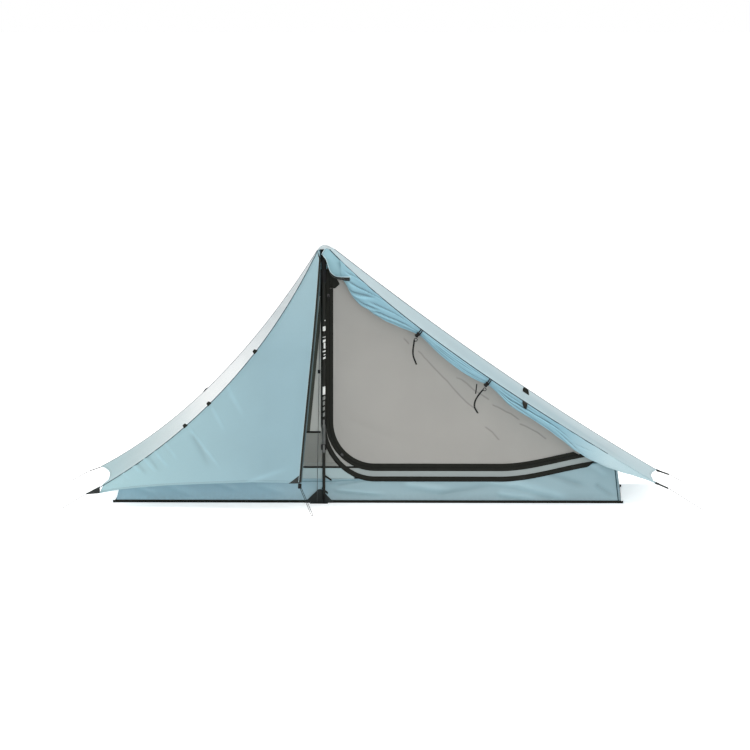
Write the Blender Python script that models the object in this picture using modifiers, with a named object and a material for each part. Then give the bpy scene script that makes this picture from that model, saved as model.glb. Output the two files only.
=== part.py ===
"""Mountaineering tent pitched on one trekking pole: hung inner, bathtub floor, fly and lines.

Metres, +Z up. X runs along the groundsheet, -Y is the door side, and the origin is the middle of
the groundsheet's underside. The tent stands pitched: left fly door shut, right fly door rolled
up and tied, inner door zipped shut.
"""

import math

import bmesh
import bpy
from mathutils import Matrix, Vector

# Clearances and thicknesses
GAP = 0.0003
CLOTH = 0.001
TAPE = 0.001
SEAM_INSET = 0.0008
SEAM_LIFT = 0.0009

# Groundsheet, its bathtub walls and the black hem round its foot
FLOOR_LENGTH = 2.30
FLOOR_WIDTH = 0.85
WALL_HEIGHT = 0.11
LEFT_LEAN = 0.03
RIGHT_LEAN = 0.02
RISE_REACH = 0.55
RISE_STEPS = 12
HEM_HEIGHT = 0.013
PEG_LOOP_REACH = 0.022
PEG_LOOP_WIDTH = 0.014

# Trekking pole
POLE_X = -0.20
POLE_STANDOFF = 0.022
PEAK_Z = 1.171
GRIP_RADIUS = 0.013
GRIP_LENGTH = 0.15
UPPER_RADIUS = 0.009
SHAFT_WALL = 0.0008
UPPER_END_Z = 0.372
MIDDLE_END_Z = 0.256
LOWER_END_Z = 0.045
MIDDLE_HIDDEN = 0.22
LOWER_HIDDEN = 0.15
CLAMP_RADIUS = 0.0125
CLAMP_HEIGHT = 0.026
LEVER_LENGTH = 0.036
LEVER_THICKNESS = 0.004
LEVER_WIDTH = 0.009
CLAMP_CHAMFER = (0.00175, 0.003)
TIP_RADIUS = 0.006
# Grip and tip outlines, as (share of the radius, depth below the top)
GRIP_OUTLINE = ((0.70, 0.0), (1.0, 0.006), (1.0, 0.040), (0.84, 0.075), (0.94, 0.130), (0.84, GRIP_LENGTH))
TIP_OUTLINE = ((1.0, 0.0), (1.0, 0.018), (0.50, 0.034))
TIP_POINT = 0.45
GRIP_HOLD = 0.03
SOCKET_WALL = 0.003
SOCKET_DEPTH = 0.045
SOCKET_DOME = 0.012
SOCKET_SHOULDER = (0.5, 0.005)

# Fly: each corner from the groundsheet's corner, as (out along X, out along Y, height)
NEAR_LEFT_REACH = (0.063, 0.225, 0.085)
FAR_LEFT_REACH = (0.123, 0.225, 0.072)
NEAR_RIGHT_REACH = (0.156, 0.225, 0.115)
FAR_RIGHT_REACH = (0.175, 0.225, 0.061)
# Where each ridge starts round the peak, from the pole's axis and the peak's height
NEAR_LEFT_TOP = (-0.0225, -0.028, -0.0095)
FAR_LEFT_TOP = (-0.0245, 0.047, -0.011)
NEAR_RIGHT_TOP = (0.0205, -0.028, -0.0075)
FAR_RIGHT_TOP = (0.0375, 0.047, -0.0085)
# How far each ridge's control points lie along X and down Z from its top to its corner
NEAR_LEFT_BOW = ((0.335, 0.650),)
FAR_LEFT_BOW = ((0.440, 0.687),)
NEAR_RIGHT_BOW = ((0.233, 0.342), (0.648, 0.714))
FAR_RIGHT_BOW = ((0.530, 0.596),)
# How far the middle of each hem is drawn in
LEFT_END_HEM_BOW = (0.045, 0.0, 0.012)
RIGHT_END_HEM_BOW = (-0.022, 0.0, 0.006)
REAR_HEM_BOW = (0.0, -0.06, 0.035)
DOOR_HEM_BOW = (0.0, 0.0, 0.010)
DOOR_TOP = (-0.012, -0.038, -0.025)
DOOR_FOOT_SHIFT = -0.092
DOOR_FOOT_REACH = 0.505
DOOR_FOOT_Z = 0.132
DOOR_EDGE_BOW = ((0.19, 0.33), (0.80, 0.74))
DOOR_START = 0.045
RIDGE_STEPS = 16
PANEL_STEPS = 10
REAR_COLUMNS = 12
END_COLUMNS = 4
CORNER_STEPS = 12
CAP_CLEARANCE = 0.0022
CAP_SKIRT = 0.022
RIDGE_TAPE_WIDTH = 0.012
TAB_SIZE = (0.014, 0.003, 0.024)

# Hung inner: its ridges run this far under the fly's
INNER_DROP = 0.025
INNER_TOP_DROP = 0.075
INNER_CROWN_DEPTH = 0.012
STRAP_WIDTH = 0.015
STRAP_TOP_DROP = 0.022
STRAP_HOLD = 0.03
VENT_TOP = 0.323
VENT_CORNER_FOOT = 0.006

# Inner door in the front wall: the zip's path and the two black tapes
DOOR_LEFT_X = -0.158
DOOR_BOTTOM_Z = 0.18
DOOR_CORNER_RADIUS = 0.19
COIL_OFFSET = 0.016
COIL_GAP = 0.001
ZIP_BAND = 0.034
SILL_LOWER = 0.059
TAPE_SIDE = 0.056
TAPE_LOWER = 0.082
HINGE_TOP_DROP = 0.1755
HINGE_END_Z = 0.2142
HINGE_CLEARANCE = 0.0015
# How far the two bands end from the groundsheet's right end
ZIP_BAND_REACH = 0.18
SILL_BAND_REACH = 0.13
ZIP_TAPE_SHORT = 0.006
SPLIT_STEPS = 5
FRONT_TAPE_WIDTH = 0.014
FRONT_TAPE_SLANT = 0.050
FRONT_TAPE_DROP = 0.337
VENT_BINDING = 0.010
VENT_BINDING_INSET = 0.03
SLIDER_SIZE = (0.011, 0.004, 0.014)
SLIDER_DROP = 0.226
SLIDER_ANGLE = 45.0
PULL_LENGTH = 0.026
PULL_THICKNESS = 0.002
PULL_WIDTH = 0.006

# Rolled fly door: along its ridge, the share of the ridge, its height and its depth
ROLL_STATIONS = (
    (0.050, 0.088, 0.030),
    (0.090, 0.112, 0.046),
    (0.145, 0.109, 0.052),
    (0.185, 0.098, 0.052),
    (0.225, 0.082, 0.050),
    (0.270, 0.060, 0.046),
    (0.305, 0.040, 0.038),
    (0.330, 0.030, 0.032),
    (0.350, 0.033, 0.036),
    (0.385, 0.045, 0.042),
    (0.430, 0.051, 0.044),
    (0.475, 0.049, 0.043),
    (0.510, 0.040, 0.036),
    (0.534, 0.030, 0.030),
    (0.555, 0.036, 0.032),
    (0.592, 0.055, 0.036),
    (0.640, 0.053, 0.034),
    (0.690, 0.053, 0.030),
    (0.730, 0.061, 0.026),
    (0.775, 0.073, 0.020),
    (0.830, 0.070, 0.014),
    (0.900, 0.045, 0.007),
    (0.955, 0.019, 0.005),
    (0.980, 0.010, 0.004),
)
ROLL_STEPS = 52
ROLL_SIDES = 14
ROLL_STANDOFF = 0.003
ROLL_FOLDS = 3
ROLL_FOLD_DEPTH = 0.08
ROLL_FOLD_TWIST = 9.0
# Steps round the roll's section to the lip that runs up to the ridge seam, except this near a tie
ROLL_LIP_STEPS = 2
ROLL_LIP_BREAK = 0.02
TIE_SHARES = (0.330, 0.534)
TIE_CORD_RADIUS = 0.0020
TIE_CLEARANCE = 0.0037
TIE_STEPS = 16
TOGGLE_LENGTH = 0.034
TOGGLE_RADIUS = 0.0035
TOGGLE_TILT = -25.0
TAIL_STEPS = 20
TAIL_ROUTES = (
    ((0.000, 0.000, 0.000), (-0.004, 0.000, -0.030), (-0.010, 0.000, -0.082), (-0.002, 0.000, -0.105),
     (0.008, 0.000, -0.127)),
    ((0.000, 0.000, 0.000), (-0.022, 0.000, -0.030), (-0.044, 0.000, -0.066), (-0.044, 0.000, -0.094),
     (-0.032, 0.000, -0.121)),
)

# Flap of the rolled door that stays under the peak, from the pole's axis and the peak's height
COLLAR_OUTLINE = (
    (0.010, -0.023), (0.010, -0.043), (0.016, -0.075), (0.029, -0.115), (0.051, -0.136), (0.119, -0.140),
    (0.128, -0.138), (0.028, -0.026),
)
COLLAR_STANDOFF = 0.0352

# Corner patches, lines and the cord behind the door edge
PATCH_DIRECTION = (0.864, 0.503)
PATCH_SEAT = 0.0008
PATCH_REACH = 0.065
PATCH_FALL = 0.0234
PATCH_HEIGHT = 0.032
PATCH_TIP_SHARE = 0.15
LINE_RADIUS = 0.00125
LINE_FALL = 0.5
LINE_END_Z = 0.0016
DOOR_PATCH_SHARES = (0.0585, 0.045)
DOOR_PATCH_TAPER = 0.12
DOOR_PATCH_LIFT = (0.0, -0.00129, 0.00045)
DOOR_STAKE_SHIFT = (0.057, -0.155)
LINE_LOCK_SIZE = (0.016, 0.006, 0.022)
LINE_LOCK_SHIFT = -0.0024
LINE_SPREAD = (0.0048, 0.0, -0.0044)
LINE_TURN_RADIUS = 0.004
LINE_STEPS = 8
TENSION_CORD_RADIUS = 0.00125
TENSION_CORD_TOP = (-0.0135, 0.007)
TENSION_CORD_FOOT = (-0.031, -0.010)
CORD_LOCK_Z = 0.60
CORD_LOCK_RADIUS = 0.006
CORD_LOCK_HEIGHT = 0.016
FOOT_PATCH_LEFT = 0.066
FOOT_PATCH_RIGHT = 0.044
FOOT_PATCH_TOP = (-0.026, -0.012)
FOOT_PATCH_HEIGHT = 0.062
FOOT_TAB_WIDTH = 0.0825
FOOT_TAB_REACH = 0.048
FOOT_TAB_THICKNESS = 0.002

# Colours as linear red, green and blue
SKY_BLUE = (0.323, 0.479, 0.533)
FLOOR_BLUE = (0.262, 0.413, 0.497)
INNER_GREY = (0.366, 0.356, 0.337)
SILL_GREY = (0.300, 0.337, 0.337)
MESH_GREY = (0.090, 0.090, 0.085)
BLACK = (0.018, 0.018, 0.016)
CORD_GREY = (0.120, 0.120, 0.115)
TUBE_GREY = (0.250, 0.250, 0.260)

FRONT_Y = -FLOOR_WIDTH / 2
POLE_Y = FRONT_Y - POLE_STANDOFF
TAPE_FACE_Y = FRONT_Y - GAP
SLIDER_FACE_Y = TAPE_FACE_Y - TAPE - GAP


def start_scene():
    """Empty the file and make one collection for the tent and one for its cutters."""
    for old in list(bpy.data.objects):
        bpy.data.objects.remove(old, do_unlink=True)
    made = []
    for title in ("mountaineering_tent", "cutters"):
        collection = bpy.data.collections.new(title)
        bpy.context.scene.collection.children.link(collection)
        made.append(collection)
    return made


TENT, CUTTERS = start_scene()


def finish_object(obj, colour, roughness=0.7, metallic=0.0, smooth=True):
    """Put the object in the tent's collection with its own material."""
    TENT.objects.link(obj)
    material = bpy.data.materials.new(obj.name + "_material")
    material.use_nodes = True
    shader = material.node_tree.nodes["Principled BSDF"]
    shader.inputs["Base Color"].default_value = (*colour, 1.0)
    shader.inputs["Roughness"].default_value = roughness
    shader.inputs["Metallic"].default_value = metallic
    obj.data.materials.append(material)
    if smooth and obj.type == "MESH":
        obj.data.shade_smooth()
        obj.data.set_sharp_from_angle(angle=math.radians(35))
    return obj


def mesh_object(name, shape, colour, **finish):
    """Make a bmesh into a finished object."""
    mesh = bpy.data.meshes.new(name)
    shape.to_mesh(mesh)
    shape.free()
    return finish_object(bpy.data.objects.new(name, mesh), colour, **finish)


def make_cutter(obj):
    """Move a helper solid to the cutters, which are not part of the tent."""
    for collection in obj.users_collection:
        collection.objects.unlink(obj)
    CUTTERS.objects.link(obj)
    obj.hide_render = True
    obj.display_type = "WIRE"
    return obj


def unite(target, helper):
    """Fuse a helper solid into the target with a Boolean."""
    boolean = target.modifiers.new("join_" + helper.name, "BOOLEAN")
    boolean.operation = "UNION"
    boolean.solver = "EXACT"
    boolean.object = make_cutter(helper)


def solidify(obj, thickness):
    """Give an open sheet its thickness, half on each side."""
    modifier = obj.modifiers.new("thickness", "SOLIDIFY")
    modifier.thickness = thickness
    modifier.offset = 0.0
    return obj


def sheet(name, surface, u_steps, v_steps, colour, thickness=CLOTH, **finish):
    """A cloth panel: surface(u, v) over a grid, with u across and v down."""
    shape = bmesh.new()
    bmesh.ops.create_grid(shape, x_segments=u_steps, y_segments=v_steps, size=0.5)
    for vertex in shape.verts:
        vertex.co = surface(vertex.co.x + 0.5, vertex.co.y + 0.5)
    return solidify(mesh_object(name, shape, colour, **finish), thickness)


def box(name, size, matrix, colour, bevel=0.0, **finish):
    """A block of the given size, placed by a matrix."""
    shape = bmesh.new()
    bmesh.ops.create_cube(shape, size=1.0)
    bmesh.ops.scale(shape, vec=size, verts=shape.verts)
    obj = mesh_object(name, shape, colour, **finish)
    obj.matrix_world = matrix
    if bevel:
        modifier = obj.modifiers.new("rounded_edges", "BEVEL")
        modifier.width = bevel
        modifier.segments = 2
    return obj


def turned(name, profile, location, colour, steps=24, **finish):
    """A solid of revolution: profile of (radius, height), down its outer side."""
    shape = bmesh.new()
    points = [shape.verts.new((radius, 0.0, height)) for radius, height in profile]
    closed = profile[0][0] > 0.0
    for start, end in zip(points, points[1:]):
        shape.edges.new((start, end))
    if closed:
        shape.edges.new((points[-1], points[0]))
    obj = mesh_object(name, shape, colour, **finish)
    obj.location = location
    screw = obj.modifiers.new("turn", "SCREW")
    screw.steps = steps
    screw.render_steps = steps
    screw.use_merge_vertices = True
    screw.merge_threshold = 0.00005
    screw.use_smooth_shade = True
    return obj


def plate(name, outline, face_y, thickness, colour, **finish):
    """A flat piece in an X-Z plane: its outline of (x, z), with its back face at face_y."""
    curve = bpy.data.curves.new(name, "CURVE")
    curve.dimensions = "2D"
    curve.fill_mode = "BOTH"
    curve.extrude = thickness / 2
    spline = curve.splines.new("POLY")
    spline.points.add(len(outline) - 1)
    for point, (x, z) in zip(spline.points, outline):
        point.co = (x, z, 0.0, 1.0)
    spline.use_cyclic_u = True
    obj = bpy.data.objects.new(name, curve)
    obj.rotation_euler = (math.pi / 2, 0.0, 0.0)
    obj.location = (0.0, face_y - thickness / 2, 0.0)
    return finish_object(obj, colour, **finish)


def tube(name, points, radius, colour, cyclic=False, **finish):
    """A cord along points, with filled ends."""
    curve = bpy.data.curves.new(name, "CURVE")
    curve.dimensions = "3D"
    curve.bevel_depth = radius
    curve.bevel_resolution = 2
    curve.use_fill_caps = not cyclic
    spline = curve.splines.new("POLY")
    spline.points.add(len(points) - 1)
    for point, place in zip(spline.points, points):
        point.co = (*place, 1.0)
    spline.use_cyclic_u = cyclic
    return finish_object(bpy.data.objects.new(name, curve), colour, **finish)


def as_mesh(obj):
    """Turn a curve object into a mesh object with welded caps."""
    name = obj.name
    evaluated = obj.evaluated_get(bpy.context.evaluated_depsgraph_get())
    mesh = bpy.data.meshes.new_from_object(evaluated)
    shape = bmesh.new()
    shape.from_mesh(mesh)
    bmesh.ops.remove_doubles(shape, verts=shape.verts, dist=0.00005)
    shape.to_mesh(mesh)
    shape.free()
    place = obj.matrix_world.copy()
    bpy.data.objects.remove(obj, do_unlink=True)
    made = bpy.data.objects.new(name, mesh)
    made.matrix_world = place
    TENT.objects.link(made)
    return made


def stadium(name, length, thickness, width, matrix, colour, steps=6, **finish):
    """A bar with round ends: its upper round is at the origin, and it hangs down local Y."""
    radius = thickness / 2
    rounds = [math.pi * step / steps for step in range(steps + 1)]
    outline = [(radius * math.cos(angle), radius * math.sin(angle)) for angle in rounds]
    reach = thickness - length
    outline += [(-radius * math.cos(angle), reach - radius * math.sin(angle)) for angle in rounds]
    obj = plate(name, outline, 0.0, width, colour, **finish)
    obj.rotation_euler = (0.0, 0.0, 0.0)
    obj.matrix_world = matrix
    return obj


def mix(start, end, share):
    """The value at a share of the way from start to end."""
    return start + (end - start) * share


def smoothstep(share):
    """0 below 0, 1 above 1, and an even S between."""
    share = min(max(share, 0.0), 1.0)
    return share * share * (3.0 - 2.0 * share)


def bezier(controls, share):
    """The point at a share along a Bezier curve, by repeated mixing of its control points."""
    points = list(controls)
    while len(points) > 1:
        points = [start.lerp(end, share) for start, end in zip(points, points[1:])]
    return points[0]


def spline_value(keys, share):
    """A smooth value through sorted keys of (share, value, ...): cubic between the neighbours."""
    last = len(keys) - 1
    index = max(i for i in range(last) if keys[i][0] <= share or i == 0)
    before, start, end, after = (keys[min(max(index + step, 0), last)] for step in (-1, 0, 1, 2))
    part = min(max((share - start[0]) / (end[0] - start[0]), 0.0), 1.0)
    values = []
    for p0, p1, p2, p3 in zip(before[1:], start[1:], end[1:], after[1:]):
        values.append(0.5 * (2 * p1 + (p2 - p0) * part + (2 * p0 - 5 * p1 + 4 * p2 - p3) * part ** 2
                             + (3 * p1 - p0 - 3 * p2 + p3) * part ** 3))
    return values


def smooth_route(route, steps):
    """Points read from a smooth curve through a route's own points."""
    keys = [(index, *place) for index, place in enumerate(route)]
    last = len(route) - 1
    return [Vector(spline_value(keys, last * step / steps)) for step in range(steps + 1)]


def straight(start, end, steps):
    """Points along a taut line."""
    return [start.lerp(end, step / steps) for step in range(steps + 1)]


def fly_corner(side_x, side_y, reach):
    """A corner of the fly, from the groundsheet's corner on that side."""
    out_x, out_y, height = reach
    return Vector((side_x * (FLOOR_LENGTH / 2 + out_x), side_y * (FLOOR_WIDTH / 2 + out_y), height))


def peak_point(offset):
    """A point of the peak, from the pole's axis and the top of the peak."""
    return Vector((POLE_X + offset[0], POLE_Y + offset[1], PEAK_Z + offset[2]))


def ridge(top, corner, bow):
    """A ridge's control points: its bow is the share of X and of Z at each middle one."""
    middle = []
    for index, (share_x, share_z) in enumerate(bow):
        share_y = (index + 1) / (len(bow) + 1)
        middle.append(Vector((mix(top.x, corner.x, share_x), mix(top.y, corner.y, share_y),
                              mix(top.z, corner.z, share_z))))
    return [top, *middle, corner]


NEAR_LEFT = ridge(peak_point(NEAR_LEFT_TOP), fly_corner(-1, -1, NEAR_LEFT_REACH), NEAR_LEFT_BOW)
FAR_LEFT = ridge(peak_point(FAR_LEFT_TOP), fly_corner(-1, 1, FAR_LEFT_REACH), FAR_LEFT_BOW)
NEAR_RIGHT = ridge(peak_point(NEAR_RIGHT_TOP), fly_corner(1, -1, NEAR_RIGHT_REACH), NEAR_RIGHT_BOW)
FAR_RIGHT = ridge(peak_point(FAR_RIGHT_TOP), fly_corner(1, 1, FAR_RIGHT_REACH), FAR_RIGHT_BOW)
DOOR_FOOT = Vector((POLE_X + DOOR_FOOT_SHIFT, FRONT_Y - DOOR_FOOT_REACH, DOOR_FOOT_Z))
DOOR_EDGE = ridge(peak_point(DOOR_TOP), DOOR_FOOT, DOOR_EDGE_BOW)


def share_at_x(edge, x):
    """The share of an edge at which it passes over x, by halving."""
    low, high = 0.0, 1.0
    sign = 1.0 if edge(1.0).x > edge(0.0).x else -1.0
    for _ in range(40):
        middle = (low + high) / 2
        if (edge(middle).x - x) * sign < 0.0:
            low = middle
        else:
            high = middle
    return low


def ruled(edge_a, edge_b, hem_bow, start=0.0, inset=SEAM_INSET):
    """The surface between two edges, with its hem drawn in and its sides short of the seams."""
    bow = Vector(hem_bow)

    def surface(u, v):
        share = mix(start, 1.0, v)
        a = edge_a(share)
        b = edge_b(share)
        side = inset / (b - a).length
        across = mix(side, 1.0 - side, u)
        return a.lerp(b, across) + bow * (4.0 * u * (1.0 - u) * v ** 3)

    return surface


def curve_of(controls):
    """A ridge as a function of its share."""
    return lambda share: bezier(controls, share)


fly_rear = ruled(curve_of(FAR_LEFT), curve_of(FAR_RIGHT), REAR_HEM_BOW)
fly_left_end = ruled(curve_of(NEAR_LEFT), curve_of(FAR_LEFT), LEFT_END_HEM_BOW)
fly_right_end = ruled(curve_of(NEAR_RIGHT), curve_of(FAR_RIGHT), RIGHT_END_HEM_BOW)
# The shut left fly door, from the near left ridge to its free edge beside the pole
fly_door = ruled(curve_of(NEAR_LEFT), curve_of(DOOR_EDGE), DOOR_HEM_BOW, start=DOOR_START)

# Upper corners of the bathtub, where its long walls start to rise, and where the door's bands end
LEFT_TOP_X = -FLOOR_LENGTH / 2 + LEFT_LEAN
RIGHT_TOP_X = FLOOR_LENGTH / 2 - RIGHT_LEAN
RISE_START = FLOOR_LENGTH / 2 - RISE_REACH
ZIP_BAND_END_X = FLOOR_LENGTH / 2 - ZIP_BAND_REACH
SILL_BAND_END_X = FLOOR_LENGTH / 2 - SILL_BAND_REACH


INNER_BACK_Y = FLOOR_WIDTH / 2 - CLOTH / 2
INNER_NEAR_Y = FRONT_Y + CLOTH + GAP
INNER_CROWN_Y = INNER_NEAR_Y + INNER_CROWN_DEPTH


def inner_near_ridge(controls, corner_x):
    """The top of the front wall: a fly ridge lowered, from the peak to the bathtub's corner."""
    reach = share_at_x(curve_of(controls), corner_x)

    def edge(share):
        point = bezier(controls, mix(reach * INNER_TOP_DROP, reach, share))
        return Vector((point.x, INNER_NEAR_Y, point.z - INNER_DROP))

    return edge


def inner_far_ridge(panel, near_ridge):
    """A rear ridge: straight behind the near one, under the fly's end panel."""
    def edge(share):
        x = near_ridge(share).x
        y = mix(INNER_CROWN_Y, INNER_BACK_Y, share)

        def line(row):
            near_y = panel(0.0, row).y
            far_y = panel(1.0, row).y
            return panel((y - near_y) / (far_y - near_y), row)

        return Vector((x, y, line(share_at_x(line, x)).z - INNER_DROP))

    return edge


INNER_NEAR_LEFT = inner_near_ridge(NEAR_LEFT, LEFT_TOP_X)
INNER_FAR_LEFT = inner_far_ridge(fly_left_end, INNER_NEAR_LEFT)
INNER_NEAR_RIGHT = inner_near_ridge(NEAR_RIGHT, RIGHT_TOP_X)
INNER_FAR_RIGHT = inner_far_ridge(fly_right_end, INNER_NEAR_RIGHT)


def corner_height(edge):
    """Height of the front wall under an inner ridge's foot."""
    return edge(1.0).z - CLOTH - 2 * SEAM_LIFT


def ramp(x, start, end):
    """0 before start and 1 at end: an even S in straight steps, which every edge along it shares."""
    place = min(max((x - start) / (end - start), 0.0), 1.0) * RISE_STEPS
    below = min(math.floor(place), RISE_STEPS - 1)
    return mix(smoothstep(below / RISE_STEPS), smoothstep((below + 1) / RISE_STEPS), place - below)


def rise_stations(start, end):
    """The x values from start to end at which the right-hand ramp bends."""
    step = (RIGHT_TOP_X - RISE_START) / RISE_STEPS
    bends = [RISE_START + index * step for index in range(RISE_STEPS + 1)]
    return [start, *(x for x in bends if start < x < end), end]


def fall_stations():
    """The x values at which the left-hand ramp bends, from its low end at the left corner."""
    return [mix(LEFT_TOP_X, -RISE_START, index / RISE_STEPS) for index in range(RISE_STEPS + 1)]


def front_rise(x):
    """How far the bathtub's front edge and the door's foot rise towards the right corner."""
    return (corner_height(INNER_NEAR_RIGHT) - WALL_HEIGHT) * ramp(x, RISE_START, RIGHT_TOP_X)


def front_wall_top(x):
    """Height of the bathtub's front wall."""
    fall = (corner_height(INNER_NEAR_LEFT) - WALL_HEIGHT) * ramp(x, -RISE_START, LEFT_TOP_X)
    return WALL_HEIGHT + front_rise(x) + fall


def rear_canopy(u, v):
    """The inner's rear, from its two rear ridges down to the bathtub's rear wall."""
    point = ruled(INNER_FAR_LEFT, INNER_FAR_RIGHT, (0.0, 0.0, 0.0))(u, v)
    left = INNER_FAR_LEFT(1.0).z
    right = INNER_FAR_RIGHT(1.0).z
    at_left = 1.0 - smoothstep(2.0 * u)
    at_right = smoothstep(2.0 * u - 1.0)
    wall_top = WALL_HEIGHT + (left - WALL_HEIGHT) * at_left + (right - WALL_HEIGHT) * at_right
    return point + Vector((0.0, 0.0, (wall_top - mix(left, right, u)) * v ** 3))


def wall_outline(top):
    """A long wall's outline from its top edge's (x, z) points, left to right."""
    return [(-FLOOR_LENGTH / 2, CLOTH + GAP), (FLOOR_LENGTH / 2, CLOTH + GAP), *top[::-1]]


def make_bathtub():
    """Floor, four walls and the black hem with its corner peg loops."""
    centre = Matrix.Translation((0.0, 0.0, CLOTH / 2))
    box("inner_floor", (FLOOR_LENGTH, FLOOR_WIDTH, CLOTH), centre, FLOOR_BLUE)
    front = [(x, front_wall_top(x)) for x in fall_stations() + rise_stations(RISE_START, RIGHT_TOP_X)]
    plate("bathtub_front_wall", wall_outline(front), FRONT_Y + CLOTH, CLOTH, FLOOR_BLUE)
    seam = [rear_canopy(column / REAR_COLUMNS, 1.0) for column in range(REAR_COLUMNS + 1)]
    rear = [(point.x, point.z - SEAM_LIFT) for point in seam]
    plate("bathtub_rear_wall", wall_outline(rear), FLOOR_WIDTH / 2, CLOTH, FLOOR_BLUE)
    for side, near_ridge, far_ridge, lean in (
        ("left", INNER_NEAR_LEFT, INNER_FAR_LEFT, LEFT_LEAN),
        ("right", INNER_NEAR_RIGHT, INNER_FAR_RIGHT, -RIGHT_LEAN),
    ):
        inward = math.copysign(CLOTH / 2, lean)

        def end_wall(u, v):
            near = near_ridge(1.0)
            far = far_ridge(1.0)
            top_z = mix(near.z, far.z, u) - SEAM_LIFT
            y = mix(INNER_NEAR_Y, FLOOR_WIDTH / 2 - CLOTH - GAP, u)
            foot_x = near.x - lean
            return Vector((mix(near.x, foot_x, v) + inward, y, mix(top_z, CLOTH + GAP + CLOTH / 2, v)))

        sheet(f"bathtub_{side}_wall", end_wall, END_COLUMNS, 3, FLOOR_BLUE)
    make_floor_hem()


def make_floor_hem():
    """The black binding round the foot of the walls, with a webbing loop at each corner."""
    inner = [FLOOR_LENGTH / 2 + GAP, FLOOR_WIDTH / 2 + GAP]
    outer = [size + TAPE for size in inner]
    ear = PEG_LOOP_REACH / math.sqrt(2)
    half = PEG_LOOP_WIDTH / 2 * math.sqrt(2)
    curve = bpy.data.curves.new("floor_hem", "CURVE")
    curve.dimensions = "2D"
    curve.fill_mode = "BOTH"
    curve.extrude = HEM_HEIGHT / 2
    outline = []
    for side_x, side_y in ((1, 1), (-1, 1), (-1, -1), (1, -1)):
        corner_x = side_x * outer[0]
        corner_y = side_y * outer[1]
        ear_points = [
            (corner_x, corner_y - side_y * half),
            (corner_x + side_x * ear, corner_y + side_y * (ear - half)),
            (corner_x + side_x * (ear - half), corner_y + side_y * ear),
            (corner_x - side_x * half, corner_y),
        ]
        outline += ear_points if side_x == side_y else ear_points[::-1]
    hole = [(sx * inner[0], sy * inner[1]) for sx, sy in ((1, 1), (-1, 1), (-1, -1), (1, -1))]
    for points in (outline, hole):
        spline = curve.splines.new("POLY")
        spline.points.add(len(points) - 1)
        for point, (x, y) in zip(spline.points, points):
            point.co = (x, y, 0.0, 1.0)
        spline.use_cyclic_u = True
    hem = bpy.data.objects.new("floor_hem", curve)
    hem.location = (0.0, 0.0, HEM_HEIGHT / 2)
    finish_object(hem, BLACK)


def door_path(side, drop, end_x, top_z):
    """A line round the inner door from its upper left end to its lower right end.

    side and drop are how far it lies outside the door's edge, at the left and below: straight down,
    round an elliptic corner, then along the foot and up its rise.
    """
    centre_x = DOOR_LEFT_X + DOOR_CORNER_RADIUS
    centre_z = DOOR_BOTTOM_Z + DOOR_CORNER_RADIUS
    radius_x = DOOR_CORNER_RADIUS + side
    radius_z = DOOR_CORNER_RADIUS + drop
    points = [(DOOR_LEFT_X - side, top_z)]
    for step in range(CORNER_STEPS + 1):
        angle = math.pi / 2 * step / CORNER_STEPS
        points.append((centre_x - radius_x * math.cos(angle), centre_z - radius_z * math.sin(angle)))
    points += [(x, DOOR_BOTTOM_Z - drop + front_rise(x)) for x in rise_stations(RISE_START, end_x)]
    return points


def hinge_z(x):
    """Height of the inner door's hinge line, the straight edge by which it hangs."""
    top_x = DOOR_LEFT_X - COIL_OFFSET
    return mix(PEAK_Z - HINGE_TOP_DROP, HINGE_END_Z, (x - top_x) / (ZIP_BAND_END_X - top_x))


def foot_meets_hinge(drop, clearance):
    """X at which the door's foot, lowered by drop, runs into the hinge line, raised by clearance."""
    low, high = RISE_START, RIGHT_TOP_X
    for _ in range(40):
        middle = (low + high) / 2
        if hinge_z(middle) + clearance > DOOR_BOTTOM_Z - drop + front_rise(middle):
            low = middle
        else:
            high = middle
    return low


def ridge_outline(edge, start, end, steps):
    """The (x, z) points of an inner ridge from one share to another, kept under the end panels."""
    points = [edge(mix(start, end, step / steps)) for step in range(steps + 1)]
    return [(point.x, point.z - CLOTH) for point in points]


def share_at_height(edge, height):
    """The share of an inner ridge at a height, by halving."""
    low, high = 0.0, 1.0
    for _ in range(40):
        middle = (low + high) / 2
        if edge(middle).z - CLOTH > height:
            low = middle
        else:
            high = middle
    return low


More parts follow.
